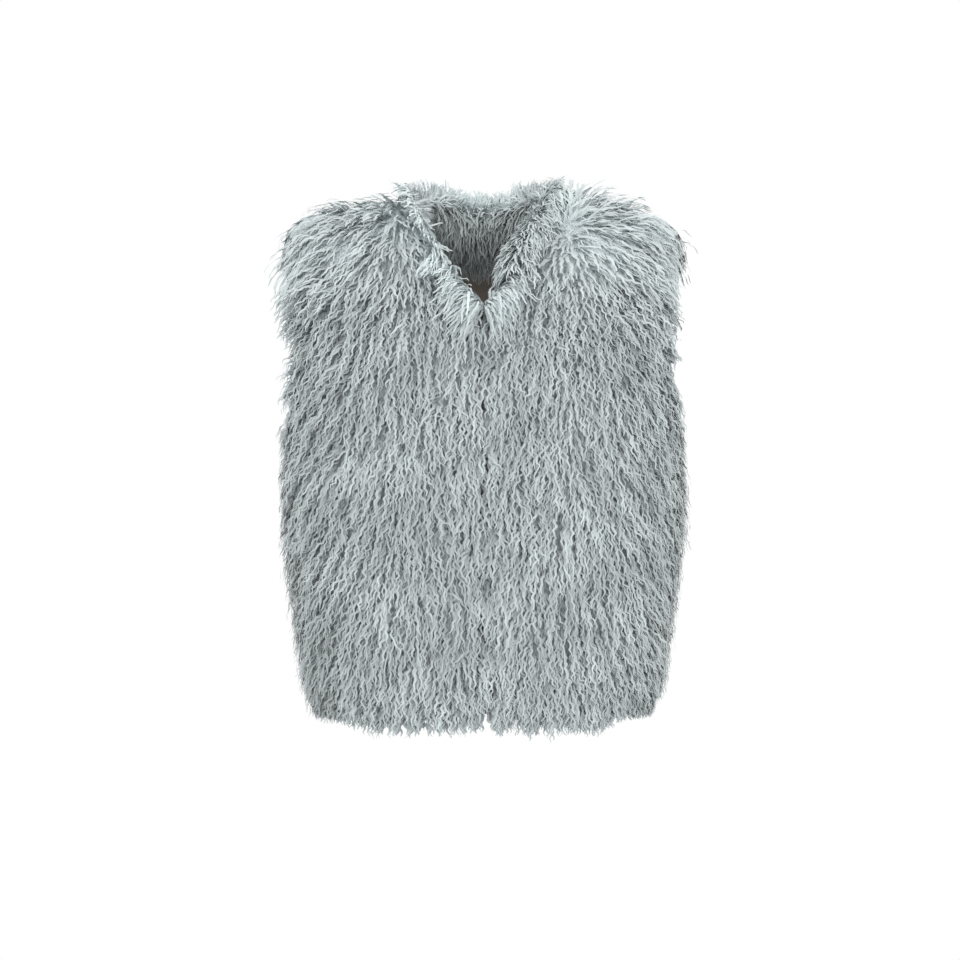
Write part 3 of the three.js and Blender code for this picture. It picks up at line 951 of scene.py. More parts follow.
@dataclass(frozen=True)
class Flow:
    """Which way the pile of a patch lies.

    Low down it hangs, and slants outwards away from the centre. At the shoulder it fans out from
    a parting point, given by its distance from the centre line and its height.
    """

    parting_x: float
    parting_z: float
    slant: float = math.radians(30)
    slant_from: float = 0.06
    slant_to: float = 0.18
    fan_from: float = -0.135
    fan_to: float = -0.055
    fan_droop: float = 0.35
    open_edge: float = 0.09
    open_turn: float = 0.1
    upright_from: float = 0.72
    calm_reach: float = 0.04
    comb_from: float = -0.105
    comb_to: float = -0.035
    shade_from: Place = (0.11, 0, -0.17)
    shade_reach: Place = (0.07, 0, -0.16)

    def along(self, patch: Patch, at: Samples, turn: np.ndarray) -> np.ndarray:
        """The way that strands lie along the cloth.

        Args:
            patch: the patch that the samples are on.
            at: the samples.
            turn: a turn of each strand about the cloth's normal, in radians.

        Returns:
            Directions of length 1 along the cloth.
        """
        side = patch.side.value
        height, distance = at.point[:, 2], np.abs(at.point[:, 0])
        hang = along_surface(np.broadcast_to(-UP, at.point.shape), at.normal)
        outward = unit(np.cross(UP, at.normal)) * (-side * patch.facing.value)
        slant = self.slant * ease(distance, self.slant_from, self.slant_to - self.slant_from)
        slant = slant * (1 - ease(at.across, self.upright_from, 1 - self.upright_from))
        if patch.facing is Facing.FRONT:
            slant = slant - self.open_turn * smooth(1 - at.across / self.open_edge)
        lower = hang * np.cos(slant)[:, None] + outward * np.sin(slant)[:, None]
        parting = np.array([side * self.parting_x, 0, self.parting_z])
        spread = (at.point - parting) * np.array([1, 0, 1])
        spread[:, 2] -= self.fan_droop * np.maximum(distance - self.parting_x, 0)
        fan = along_surface(spread, at.normal)
        share = ease(height, self.fan_from, self.fan_to - self.fan_from)[:, None]
        lying = unit(lower * (1 - share) + fan * share)
        across = np.cross(at.normal, lying)
        return unit(lying * np.cos(turn)[:, None] + across * np.sin(turn)[:, None])

    def calm(self, patch: Patch, at: Samples) -> np.ndarray:
        """From 0 at the parting, where strands stand up and point all ways, to 1 away from it.

        Args:
            patch: the patch that the samples are on.
            at: the samples.

        Returns:
            A share for each sample.
        """
        parting = np.array([patch.side.value * self.parting_x, 0, self.parting_z])
        gap = np.linalg.norm((at.point - parting) * np.array([1, 0, 1]), axis=1)
        return smooth(gap / self.calm_reach)

    def combed(self, at: Samples) -> np.ndarray:
        """From 0 on the body to 1 over the shoulders, where the pile lies smoother and is made paler by
        painted light.
        """
        return ease(at.point[..., 2], self.comb_from, self.comb_to - self.comb_from)

    def shaded(self, at: Samples) -> np.ndarray:
        """From 0 in the middle and above to 1 low down at the sides, where painted shade darkens the pile."""
        outwards = ease(np.abs(at.point[..., 0]), self.shade_from[0], self.shade_reach[0])
        return outwards * ease(at.point[..., 2], self.shade_from[2], self.shade_reach[2])


@dataclass(frozen=True)
class Gaps:
    """Gaps where locks part, each long and slim, and those down the front opening, with painted shade on the
    strands in them.
    """

    count: int = 700
    half_width: float = 0.0024
    half_length: float = 0.010
    opening: tuple[float, ...] = (-0.150, -0.204, -0.236, -0.273, -0.318, -0.377, -0.427, -0.497)
    opening_reach: float = 0.012
    opening_length: float = 0.013
    opening_rise: float = 0.013
    opening_push: float = 0.0065
    opening_depth: float = 1.6
    push: float = 0.8
    compared: int = 6

    def beside_opening(self, at: Samples) -> np.ndarray:
        """How near the front opening some samples are, from 0 to 1 on it."""
        return smooth(1 - np.abs(at.point[..., 0]) / self.opening_reach)

    def part(self, patch: Patch, at: Samples, along: np.ndarray,
             rng: np.random.Generator) -> tuple[np.ndarray, np.ndarray]:
        """Finds how far each strand is pushed aside by a gap, and how deep in one it is.

        Args:
            patch: the patch that the samples are on.
            at: where the strands are rooted.
            along: the way that they lie.
            rng: the panel's random numbers.

        Returns:
            The push on each strand's tip as vectors, and how deep in a gap it is, from 0.
        """
        sideways = np.cross(at.normal, along)
        centre = at.point[rng.permutation(len(at.point))[:self.count]]
        near = LockMembers.find(at.point, along, sideways, centre, self.compared)
        size = rng.uniform(0.5, 1.3, self.count)[near.lock]
        inside = smooth(1 - np.abs(near.beside) / (self.half_width * size))
        inside = inside * smooth(1.3 - np.abs(near.ahead) / (self.half_length * size))
        push = sideways * (np.sign(near.beside) * inside * self.half_width * self.push)[:, None]
        if patch.facing is Facing.BACK:
            return push, inside
        rise = at.point[:, 2] - self.opening_rise
        open_here = sum(smooth(1.2 - np.abs(rise - middle) / self.opening_length) for middle in self.opening)
        open_here = self.beside_opening(at) * np.minimum(open_here, 1)
        push = push + np.array([patch.side.value, 0, 0]) * (open_here * self.opening_push)[:, None]
        return push, np.maximum(inside, self.opening_depth * open_here)


@dataclass(frozen=True)
class Trim:
    """How long the pile is left against the cut, as a factor on it, where a panel ends."""

    shoulder_top: float = 1.2
    shoulder_tip: float = 0.80
    armhole: float = 1.12
    hem_middle: float = 1.05
    hem_side: float = 0.50
    side: float = 0.85
    tip_height: Span = (-0.075, 0.045)
    tip_distance: Span = (0.125, 0.045)
    top_height: Span = (-0.05, 0.045)
    top_distance: Span = (0.12, 0.04)
    hole_bottom: Span = (-0.26, 0.05)
    hole_top: Span = (-0.055, 0.05)
    hem_height: Span = (-0.45, -0.02)
    hem_distance: Span = (0.10, 0.05)
    flank_distance: Span = (0.15, 0.03)
    flank_height: Span = (-0.17, -0.05)

    def on_tip(self, at: Samples) -> np.ndarray:
        """From 0 on the body to 1 on the tip of the shoulder."""
        return ease(at.point[..., 2], *self.tip_height) * ease(np.abs(at.point[..., 0]), *self.tip_distance)

    def factor(self, at: Samples) -> np.ndarray:
        """The factor on the pile at some samples.

        Args:
            at: the samples.

        Returns:
            A factor for each sample.
        """
        distance, height = np.abs(at.point[..., 0]), at.point[..., 2]
        top = ease(height, *self.top_height) * (1 - ease(distance, *self.top_distance))
        hole = at.roll * ease(height, *self.hole_bottom) * (1 - ease(height, *self.hole_top))
        hem = at.roll * ease(height, *self.hem_height)
        reach = self.hem_middle + (self.hem_side - self.hem_middle) * ease(distance, *self.hem_distance)
        flank = ease(distance, *self.flank_distance) * ease(height, *self.flank_height) * (1 - hem)
        return (1 + (self.shoulder_top - 1) * top + (self.shoulder_tip - 1) * self.on_tip(at)
                + (self.armhole - 1) * hole + (reach - 1) * hem + (self.side - 1) * flank)


# How a strand leaves its root: its least rise as a share of the pile, the powers that curve its
# rise and its lie, and the share of its lie that is lost where the pile rolls over an edge.
LEAST_RISE = 0.08
RISE_POWER = 1.8
LAY_POWER = 1.25
LAY_LOST_IN_ROLL = 0.75


@dataclass
class FurPanel:
    """One panel of fur: its knit cloth, its undercoat, and strands in one or two objects.

    It is named as the CAD node that it replaces.
    """

    name: str
    patches: tuple[Patch, ...]
    flow: Flow
    seed: int
    flat: tuple[float, float]
    flat_area: float
    trim: Trim = Trim()
    gaps: Gaps = Gaps()
    strands: int = 9300
    edge_strands: int = 1100
    edge_on_hem: float = 0.4
    edge_inset: float = 0.02
    edge_tilt: tuple[float, float] = (0.8, 1.55)
    even_share: float = 0.6
    locks: int = 1000
    lock_half_width: float = 0.004
    cloth_clearance: float = 0.0002
    cloth_thickness: float = 0.001
    undercoat_clearance: float = 0.0004
    undercoat_share: float = 0.50
    root_share: float = 0.36
    lay: float = 0.026
    lay_while_calm: float = 0.25
    lay_lost_on_tip: float = 0.35
    sag: float = 0.004
    sag_on_tip: float = 0.008
    comb_lift: float = 0.24
    comb_evens: float = 0.6
    comb_calms: float = 0.5
    comb_widens: float = 0.3
    lumps: float = 0.09
    groove: float = 0.4
    # Painted shade on the undercoat in the groove down the front opening.
    groove_painted_shade: float = 0.9
    gap_shortens: float = 0.6
    sink: float = 0.24
    stray_share: float = 0.06
    stray_tip: float = 0.12
    stray_lay: float = 1.25
    stray_width: float = 0.55
    tone: float = 0.5
    # Painted light over the shoulders, with paler roots there, and painted shade low at the sides and in
    # gaps.
    shoulder_painted_light: float = 0.16
    painted_shade_tone: float = 0.20
    gap_painted_shade: float = 0.26
    shoulder_root_painted_light: float = 0.8
    variety: Variety = Variety()
    crimp: Crimp = Crimp()
    rows: int = 48
    columns: int = 32

    def grid(self) -> Samples:
        """Samples the whole panel on a grid whose columns run from the lowest X to the highest.

        Returns:
            The samples, with the halves of the back joined.
        """
        up, across = even_grid(self.rows, self.columns)
        parts = [patch.sample(across, up) for patch in self.patches]
        if len(parts) == 2:
            return parts[0].turned().joined(parts[1])
        return parts[0].turned() if self.patches[0].side is Side.RIGHT else parts[0]

    def build_cloth(self, grid: Samples, finish: bpy.types.Material) -> bpy.types.Object:
        """Makes the knit cloth, a thin wall on the panel's inner face.

        Args:
            grid: the panel's samples.
            finish: the knit's material.

        Returns:
            The cloth.
        """
        inner = grid.point + grid.normal * self.cloth_clearance
        outer = inner + grid.normal * self.cloth_thickness
        if self.patches[0].facing is Facing.BACK:
            inner, outer = inner[:, ::-1], outer[:, ::-1]
        piece = make_wall(f"{self.name}_cloth", outer, inner)
        piece.data.materials.append(finish)
        return piece

    def build_undercoat(self, grid: Samples, finish: bpy.types.Material) -> bpy.types.Object:
        """Makes the undercoat, a soft lumpy wall on the cloth.

        Args:
            grid: the panel's samples.
            finish: the undercoat's material.

        Returns:
            The undercoat.
        """
        rng = np.random.default_rng(self.seed)
        lumps = self.lumps * self.lumpiness(grid, rng.uniform(0, 2 * np.pi, 4))
        combed = self.flow.combed(grid)
        share = self.undercoat_share + self.comb_lift * combed + lumps * (1 - self.comb_calms * combed)
        groove = self.gaps.beside_opening(grid) * (self.patches[0].facing is Facing.FRONT)
        # The pale value is painted light over the shoulders and painted shade in the groove down the front
        # opening.
        share, pale = share * (1 - self.groove * groove), combed - self.groove_painted_shade * groove
        depth = grid.pile * share * np.minimum(self.trim.factor(grid), 1)
        inner = grid.point + grid.normal * (self.cloth_thickness + self.undercoat_clearance)
        outer = grid.point + grid.growth * depth[..., None]
        if self.patches[0].facing is Facing.BACK:
            inner, outer, pale = inner[:, ::-1], outer[:, ::-1], pale[:, ::-1]
        piece = make_wall(f"{self.name}_undercoat", outer, inner)
        add_value(piece, "pale", np.stack([pale, pale]))
        piece.data.materials.append(finish)
        return piece

    @staticmethod
    def lumpiness(grid: Samples, start: np.ndarray) -> np.ndarray:
        """The undercoat's lumps, from -1 to 1: three crossed waves, 20 to 50 mm long and slanting."""
        x, y, z = (grid.point[..., axis] for axis in range(3))
        return (np.sin(x * 310 + start[0] + 2 * np.sin(z * 60)) + np.sin(z * 120 + start[1] + x * 90)
                + np.sin(y * 280 + start[2] + 2 * np.sin(z * 75 + start[3]))) / 3

    def spines(self, at: Samples, along: np.ndarray, tip: np.ndarray, lay: np.ndarray) -> np.ndarray:
        """Grows smooth spines that rise off the cloth and lie over as they go.

        Args:
            at: where the strands are rooted.
            along: the way that they lie along the cloth.
            tip: how far off the cloth they end, as a share of the pile.
            lay: how far along the cloth they end, in metres.

        Returns:
            The spines, as rows of points.
        """
        t = np.linspace(0, 1, self.crimp.steps)[None, :, None]
        root_share = self.root_share + self.comb_lift * self.flow.combed(at)
        rise = (at.pile * np.maximum(tip - root_share, LEAST_RISE))[:, None, None]
        rise = rise * (1 - (1 - t) ** RISE_POWER)
        root = at.point + at.growth * (at.pile * root_share)[:, None]
        over = (lay * (1 - LAY_LOST_IN_ROLL * at.roll))[:, None, None] * t**LAY_POWER
        sag = (self.sag + self.sag_on_tip * self.trim.on_tip(at))[:, None, None] * t**2
        return root[:, None, :] + at.growth[:, None, :] * rise + along[:, None, :] * over - UP * sag

    def root_places(self, patch: Patch, rng: np.random.Generator) -> Samples:
        """Scatters the roots over the patch, and more of them along its hem and armhole.

        Args:
            patch: the patch.
            rng: the panel's random numbers.

        Returns:
            The roots, those along the edges last.
        """
        def pile_face(across: np.ndarray, up: np.ndarray) -> np.ndarray:
            """Points part of the way up the pile, where the strands are spread evenly."""
            at = patch.sample(across, up)
            return at.point + at.growth * (at.pile * self.even_share)[..., None]

        plain = self.strands - self.edge_strands
        across, up = scatter_places(pile_face, plain, rng)
        on_hem = rng.uniform(0, 1, self.edge_strands) < self.edge_on_hem
        run, inset = rng.uniform(0, 1, self.edge_strands), rng.uniform(0, self.edge_inset, self.edge_strands)
        seam = CUT.side_seam_share
        edge_across = np.where(on_hem, run, 1 - inset)
        edge_up = np.where(on_hem, inset, seam + (1 - seam) * (self.edge_inset + (1 - self.edge_inset) * run))
        tilt = np.concatenate([np.ones(plain), rng.uniform(*self.edge_tilt, self.edge_strands)])
        return patch.sample(np.concatenate([across, edge_across]), np.concatenate([up, edge_up]), tilt)

    def grow(self, patch: Patch, rng: np.random.Generator) -> Strands:
        """Grows the strands of one patch, in locks.

        Args:
            patch: the patch.
            rng: the panel's random numbers.

        Returns:
            The strands.
        """
        at = self.root_places(patch, rng)
        centre = at.point[rng.permutation(self.strands)[:self.locks]]
        plain = self.flow.along(patch, at, np.zeros(self.strands))
        members = LockMembers.find(at.point, plain, np.cross(at.normal, plain), centre)
        calm = self.flow.calm(patch, at)
        along = self.flow.along(patch, at, members.vary(rng, self.locks, self.variety.turn, 2 - calm))
        stray = rng.uniform(0, 1, self.strands) < self.stray_share
        tip = (rng.normal(0, self.variety.tip_by_lock, self.locks)[members.lock]
               + rng.uniform(*self.variety.tip, self.strands))
        tip = (tip + np.where(stray, self.stray_tip, 0)) * self.trim.factor(at)
        lay = self.lay * (1 - self.lay_while_calm * (1 - calm)) * np.minimum(self.trim.factor(at), 1)
        lay = lay * (1 - self.lay_lost_on_tip * self.trim.on_tip(at))
        lay = lay * rng.uniform(*self.variety.lay, self.strands) * np.where(stray, self.stray_lay, 1)
        push, inside = self.gaps.part(patch, at, along, rng)
        tip = self.root_share + (tip - self.root_share) * (1 - self.gap_shortens * inside)
        spines = self.spines(at, along, tip, lay)
        spines = spines + push[:, None, :] * np.linspace(0.3, 1, self.crimp.steps)[None, :, None]
        sideways = np.cross(at.normal, along)
        pull = np.where(stray, 0, rng.uniform(*self.variety.pull, self.strands))
        combed = self.flow.combed(at)
        evened = 1 - self.comb_evens * combed
        spines = members.draw_in(spines, sideways, -at.growth, pull, at.pile * self.sink * evened,
                                 self.lock_half_width)
        phase = (rng.uniform(0, 2 * np.pi, self.locks)[members.lock]
                 + rng.normal(0, self.variety.phase, self.strands))
        phase = phase + 2 * np.pi * members.ahead / self.crimp.wave
        swing = rng.uniform(*self.variety.swing, self.strands) * (1 - self.comb_calms * combed)
        spine, wide, width = self.crimp.curl(spines, at.normal, phase, swing, rng)
        width = width * (np.where(stray, self.stray_width, 1) * (1 + self.comb_widens * combed))[:, None]
        tone = self.tone + members.vary(rng, self.locks, self.variety.tone) * evened
        # Painted light over the shoulders and painted shade low at the sides and in gaps; the paler roots
        # over the shoulders are painted light too.
        tone = tone + self.shoulder_painted_light * combed
        tone = tone - self.painted_shade_tone * self.flow.shaded(at) - self.gap_painted_shade * inside
        return Strands(spine, wide, width, np.clip(tone, 0, 1), self.shoulder_root_painted_light * combed)

    def build(self, knit: bpy.types.Material, under: bpy.types.Material, pile: bpy.types.Material) -> None:
        """Builds and dresses the whole panel, in place of its CAD node.

        Args:
            knit: the cloth's material.
            under: the undercoat's material.
            pile: the strands' material.
        """
        grid = self.grid()
        cloth = self.build_cloth(grid, knit)
        pieces = [self.build_undercoat(grid, under)]
        rng = np.random.default_rng(self.seed + 1)
        for patch in self.patches:
            half = f"_{patch.side.name.lower()}" if len(self.patches) > 1 else ""
            pieces.append(self.grow(patch, rng).build(f"{self.name}_fur{half}", pile))
        for piece in (cloth, *pieces):
            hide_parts(self.name)
            LOG.info("%s: %d faces", piece.name, len(piece.data.polygons))


@dataclass(frozen=True)
class CollarRow:
    """The collar's section at one place: its height, and how far its two faces are pulled apart."""

    place: float
    height: float
    inward: float
    outward: float


@dataclass(frozen=True)
class Lie:
    """A way for strands to lie on the collar, as shares of its own directions and of straight down."""

    up: float = 0
    inward: float = 0
    edge: float = 0
    drop: float = 0

    def along(self, up: np.ndarray, inward: np.ndarray, edge: np.ndarray) -> np.ndarray:
        """The direction, from the collar's up, its way into the neck and its way down its front edge."""
        return up * self.up + inward * self.inward + edge * self.edge - UP * self.drop


@dataclass(frozen=True)
class HalfLies:
    """How strands lie on one half of the collar in front of the neck.

    The inner face, the outer one and the outer one's foot each have a way low down, by the
    opening, and one higher up.
    """

    low_until: float
    inner_low: Lie
    inner_high: Lie
    face_low: Lie
    face_high: Lie
    foot_low: Lie
    foot_high: Lie
    inner_longer: float
    shade_from: float
    crown_held: float
    crown_shortened: float


RIGHT_LIES = HalfLies(
    low_until=0.40,
    inner_low=Lie(edge=1), inner_high=Lie(up=1, inward=-0.25, edge=-0.2),
    face_low=Lie(edge=0.8, drop=0.2), face_high=Lie(up=0.5, inward=-1),
    foot_low=Lie(inward=-0.5, edge=0.8, drop=0.2), foot_high=Lie(inward=-1, drop=0.5),
    inner_longer=0, shade_from=1.12, crown_held=1.0, crown_shortened=0.5)
LEFT_LIES = HalfLies(
    low_until=0.35,
    inner_low=Lie(inward=1, edge=0.2), inner_high=Lie(inward=1),
    face_low=Lie(inward=0.4, edge=0.5, drop=0.3), face_high=Lie(inward=-1, drop=0.1),
    foot_low=Lie(inward=-0.8, edge=0.5, drop=0.3), foot_high=Lie(inward=-0.3, drop=1),
    inner_longer=0.006, shade_from=0.92, crown_held=0.8, crown_shortened=0)


def half_lies(side: Side) -> HalfLies:
    """How strands lie on the half of the collar at a side."""
    return RIGHT_LIES if side is Side.RIGHT else LEFT_LIES


@dataclass
class StandCollar:
    """The stand collar: arches of fur over the neck seam, from the cloth's inner face to its outer.

    A place along it runs from the front opening (0) by the shoulder seam (1) to the centre back (2),
    and a turn runs round an arch from its inner foot (0) to its outer one (1).
    """

    name: str = "collar"
    seed: int = 900
    rows: tuple[CollarRow, ...] = (
        CollarRow(0, 0.019, 0.008, 0.008),
        CollarRow(0.4, 0.024, 0.016, 0.016),
        CollarRow(1, 0.027, 0.032, 0.006),
        CollarRow(1.4, 0.036, 0.030, 0.014),
        CollarRow(2, 0.041, 0.028, 0.020),
    )
    lean: float = 0.6
    mitre: float = 0.5
    neck_middle: Place = (0, -0.020, 0.060)
    core_thickness: float = 0.03
    undercoat_share: float = 0.6
    root_share: float = 0.5
    face_share: float = 0.8
    open_right: float = 0.80
    open_from: Span = (-0.1, 0.4)
    open_until: Span = (1.0, 0.6)
    lean_while_open: float = 2.0
    low_reach: float = 0.3
    behind_neck: Span = (1.05, 0.4)
    high_behind: Span = (1.4, 0.4)
    outer_face: Span = (0.42, 0.25)
    outer_foot: Span = (0.62, 0.2)
    shade_reach: float = 0.25
    shade_until: Span = (0.42, 0.12)
    crown_place: float = 0.95
    crown_reach: float = 0.4
    back_inner: Lie = Lie(inward=0.15, drop=1)
    back_face: Lie = Lie(up=0.5, inward=-0.8)
    back_foot: Lie = Lie(inward=-0.25, drop=1)
    droop_until: float = 0.4
    inner_droop: float = 0.7
    face_droop: float = 1.3
    lay: float = 0.018
    lay_more_behind: float = 0.018
    lay_more_at_foot: float = 0.010
    lay_more_in_droop: float = 0.012
    flatten: float = 0.7
    least_length: float = 0.7
    loft: float = 0.007
    rise_more_at_opening: float = 0.3
    rise_lost_behind: float = 0.2
    sink: float = 0.003
    tone: float = 0.68
    # Painted light where the collar is laid open, and painted shade on its inner face behind the neck.
    open_painted_light: float = 0.30
    painted_shade_tone: float = 0.64
    pale: float = 0.7
    open_root_painted_light: float = 0.3
    strands: int = 4000
    locks: int = 380
    variety: Variety = Variety(turn=(0.14, 0.14), tip_by_lock=0.06, tip=(0.82, 1.12), lay=(0.7, 1.2),
                               pull=(0.35, 0.8), phase=0.6, swing=(0.5, 1.3), tone=(0.06, 0.06))
    crimp: Crimp = Crimp(swing=0.0007)
    ring_steps: int = 60
    arch_steps: int = 16

    def size(self, column: str, place: np.ndarray) -> np.ndarray:
        """Reads a column of the collar's table at some places."""
        return read_table(self.rows, "place", column, place)

    def seam(self, side: Side, place: np.ndarray) -> tuple[np.ndarray, np.ndarray]:
        """The neck seam's points on the cloth's inner face and on its pile's face.

        Args:
            side: which half of the collar.
            place: places along it.

        Returns:
            The two rows of points.
        """
        found = []
        for facing, share in ((Facing.FRONT, place), (Facing.BACK, 2 - place)):
            at = Patch(side, facing).sample(np.clip(share, 0, 1) * CUT.neck_share, np.ones_like(place))
            found.append((at.point, at.point + at.growth * at.pile[..., None]))
        front = (place <= 1)[..., None]
        return np.where(front, found[0][0], found[1][0]), np.where(front, found[0][1], found[1][1])

    def opened(self, side: Side, place: np.ndarray) -> np.ndarray:
        """How far the collar is laid open, which it is beside the neck on the wearer's right.

        Args:
            side: which half of the collar.
            place: places along it.

        Returns:
            A share from 0 to 1 at each place.
        """
        if side is Side.LEFT:
            return np.zeros_like(place)
        return self.open_right * ease(place, *self.open_from) * (1 - ease(place, *self.open_until))

    def axes(self, side: Side, place: np.ndarray) -> tuple[np.ndarray, np.ndarray, np.ndarray]:
        """Directions of the collar: along the seam, up, and in towards the neck.

        Args:
            side: which half of the collar.
            place: places along it.

        Returns:
            The three directions, each of length 1.
        """
        step = 0.03
        inside, outside = self.seam(side, place)
        after = self.seam(side, np.minimum(place + step, 2))[0]
        before = self.seam(side, np.maximum(place - step, 0))[0]
        along = unit(after - before) * -side.value
        ahead = smooth(place / self.mitre)[..., None]
        along = unit(along * ahead + np.array([1.0, 0, 0]) * (1 - ahead))
        off_cloth = unit(outside - inside)
        into_neck = unit(np.cross(along, off_cloth))
        into_neck = into_neck * np.where(dot(into_neck, np.array(self.neck_middle) - inside) < 0, -1, 1)
        lean = self.lean * (1 - self.lean_while_open * self.opened(side, place))
        up = into_neck * lean[..., None] + UP
        up = unit(up - dot(up, along) * along)
        inward = unit(np.cross(along, up))
        return along, up, inward * np.where(dot(inward, into_neck - off_cloth) < 0, -1, 1)

    def arch(self, side: Side, place: np.ndarray, turn: np.ndarray, share: float) -> np.ndarray:
        """Points of the collar's arches. A cubic arch's handles are 4/3 as high as its middle.

        Args:
            side: which half of the collar.
            place: places along the collar.
            turn: places round the arch, from the inner face (0) to the outer one (1).
            share: how much of the full height and pile the arch has.

        Returns:
            The points.
        """
        inside, outside = self.seam(side, place)
        _, up, inward = self.axes(side, place)
        top = up * (self.size("height", place) * share * 4 / 3)[..., None]
        bulge = self.size("inward", place) * share * (1 - self.opened(side, place))
        first = inside + top + inward * bulge[..., None]
        second = outside + top - inward * (self.size("outward", place) * share)[..., None]
        t = turn[..., None]
        return (inside * (1 - t) ** 3 + first * 3 * t * (1 - t) ** 2
                + second * 3 * t**2 * (1 - t) + outside * t**3)

    def build_core(self, finish: bpy.types.Material) -> bpy.types.Object:
        """Makes the collar's undercoat, one closed ring of arches from one front to the other.

        Args:
            finish: the undercoat's material.

        Returns:
            The undercoat.
        """
        place, turn = even_grid(self.ring_steps, self.arch_steps, last=(2, 1))
        halves = [self.arch(side, place, turn, self.undercoat_share) for side in (Side.RIGHT, Side.LEFT)]
        outer = np.concatenate([halves[0], halves[1][::-1][1:]])
        base = outer[:, :1] * (1 - turn[:1, :, None]) + outer[:, -1:] * turn[:1, :, None]
        inner = base * (1 - self.core_thickness) + outer * self.core_thickness
        outer, inner = outer.transpose(1, 0, 2), inner.transpose(1, 0, 2)
        piece = make_wall(f"{self.name}_undercoat", outer, inner)
        # The pale value is painted light on the outer face and the fronts, and painted shade inside behind
        # the neck.
        right, left = (1 - self.shade(side, place, turn) for side in (Side.RIGHT, Side.LEFT))
        pale = np.concatenate([right, left[::-1][1:]]).T
        add_value(piece, "pale", np.stack([pale, pale]))
        piece.data.materials.append(finish)
        return piece

    def shade(self, side: Side, place: np.ndarray, turn: np.ndarray) -> np.ndarray:
        """From 0 on the outer face and the fronts to 1 on the inner face behind the neck, where painted shade
        darkens the pile.
        """
        behind = ease(place, half_lies(side).shade_from, self.shade_reach)
        return behind * (1 - ease(turn, *self.shade_until))

    def lie(self, side: Side, place: np.ndarray,
            turn: np.ndarray) -> tuple[np.ndarray, np.ndarray, np.ndarray]:
        """How strands lie on the collar.

        Args:
            side: which half of the collar.
            place: where the strands are along the collar.
            turn: where they are round the arch.

        Returns:
            The direction in which they lie, how far they go that way, and the arches' normals.
        """
        along, up, inward = self.axes(side, place)
        edge = along * side.value
        half = half_lies(side)
        low = (1 - ease(place, half.low_until, self.low_reach))[:, None]
        behind_neck = ease(place, *self.behind_neck)[:, None]
        outer = ease(turn, *self.outer_face)[:, None]
        foot = ease(turn, *self.outer_foot)[:, None]
        droop = (1 - smooth(place / self.droop_until))[:, None]

        def way(lie: Lie) -> np.ndarray:
            """The direction of a way to lie."""
            return lie.along(up, inward, edge)

        front_inner = mix(way(half.inner_high), way(half.inner_low), low) - UP * droop * self.inner_droop
        front_low = mix(way(half.face_low), way(half.foot_low), foot) - UP * droop * self.face_droop
        front_high = mix(way(half.face_high), way(half.foot_high), foot)
        back = mix(way(self.back_face), way(self.back_foot), foot)
        inner_way = mix(front_inner, way(self.back_inner), behind_neck)
        outer_way = mix(mix(front_high, front_low, low), back, behind_neck)
        lying = mix(inner_way, outer_way, outer)
        length = (self.lay + self.lay_more_behind * behind_neck * (1 - outer) + self.lay_more_at_foot * foot
                  + self.lay_more_in_droop * droop + half.inner_longer * (1 - outer) * (1 - behind_neck))
        normal = self.face_normal(side, place, turn, along)
        lying = lying - dot(lying, normal) * normal * self.flatten
        lying = lying / np.maximum(np.linalg.norm(lying, axis=-1, keepdims=True), self.least_length)
        return lying, length[:, 0], normal

    def face_normal(self, side: Side, place: np.ndarray, turn: np.ndarray, along: np.ndarray) -> np.ndarray:
        """The arches' outward normals, from the direction along the collar.

        Args:
            side: which half of the collar.
            place: places along it.
            turn: places round the arch.
            along: the direction along the collar there.

        Returns:
            Normals of length 1.
        """
        ahead, behind = (self.face(side, place, np.clip(turn + step, 0, 1)) for step in (0.03, -0.03))
        normal = unit(np.cross(ahead - behind, along))
        middle = self.arch(side, place, np.full_like(turn, 0.5), 0.3)
        return normal * np.where(dot(normal, self.face(side, place, turn) - middle) < 0, -1, 1)

    def face(self, side: Side, place: np.ndarray, turn: np.ndarray) -> np.ndarray:
        """Points of the arches near the pile's face, where strands are spread and compared."""
        return self.arch(side, place, turn, self.face_share)

    def stand(self, side: Side, place: np.ndarray, turn: np.ndarray, normal: np.ndarray,
              reach: np.ndarray) -> np.ndarray:
        """How far and which way strands stand off their roots.

        Args:
            side: which half of the collar.
            place: where the strands are along the collar.
            turn: where they are round the arch.
            normal: the arches' normals there.
            reach: a factor for each strand.

        Returns:
            The rise of each strand's tip over its root.
        """
        loft = self.loft * np.where(turn < 0.4, 1 - self.opened(side, place), 1)
        rise = (self.arch(side, place, turn, 1.0) - self.arch(side, place, turn, self.root_share)
                + normal * loft[:, None])
        held = self.crown(place, turn) * half_lies(side).crown_held
        at_opening = self.rise_more_at_opening * (1 - smooth(place / 0.25))
        behind = self.rise_lost_behind * ease(place, *self.high_behind)
        return rise * (reach * (1 - held) * (1 + at_opening) * (1 - behind))[:, None]

    def crown(self, place: np.ndarray, turn: np.ndarray) -> np.ndarray:
        """From 0 to 1 on the crest beside the neck, where the pile is pressed down."""
        near = np.exp(-((place - self.crown_place) / self.crown_reach) ** 2)
        return near * np.sin(np.pi * turn) ** 2

    def grow(self, side: Side, rng: np.random.Generator) -> Strands:
        """Grows the strands of half the collar, in locks.

        Args:
            side: which half of the collar.
            rng: the collar's random numbers.

        Returns:
            The strands.
        """
        def whole_face(share: np.ndarray, turn: np.ndarray) -> np.ndarray:
            """Points of this half's face, with its length as a share."""
            return self.face(side, share * 2, turn)

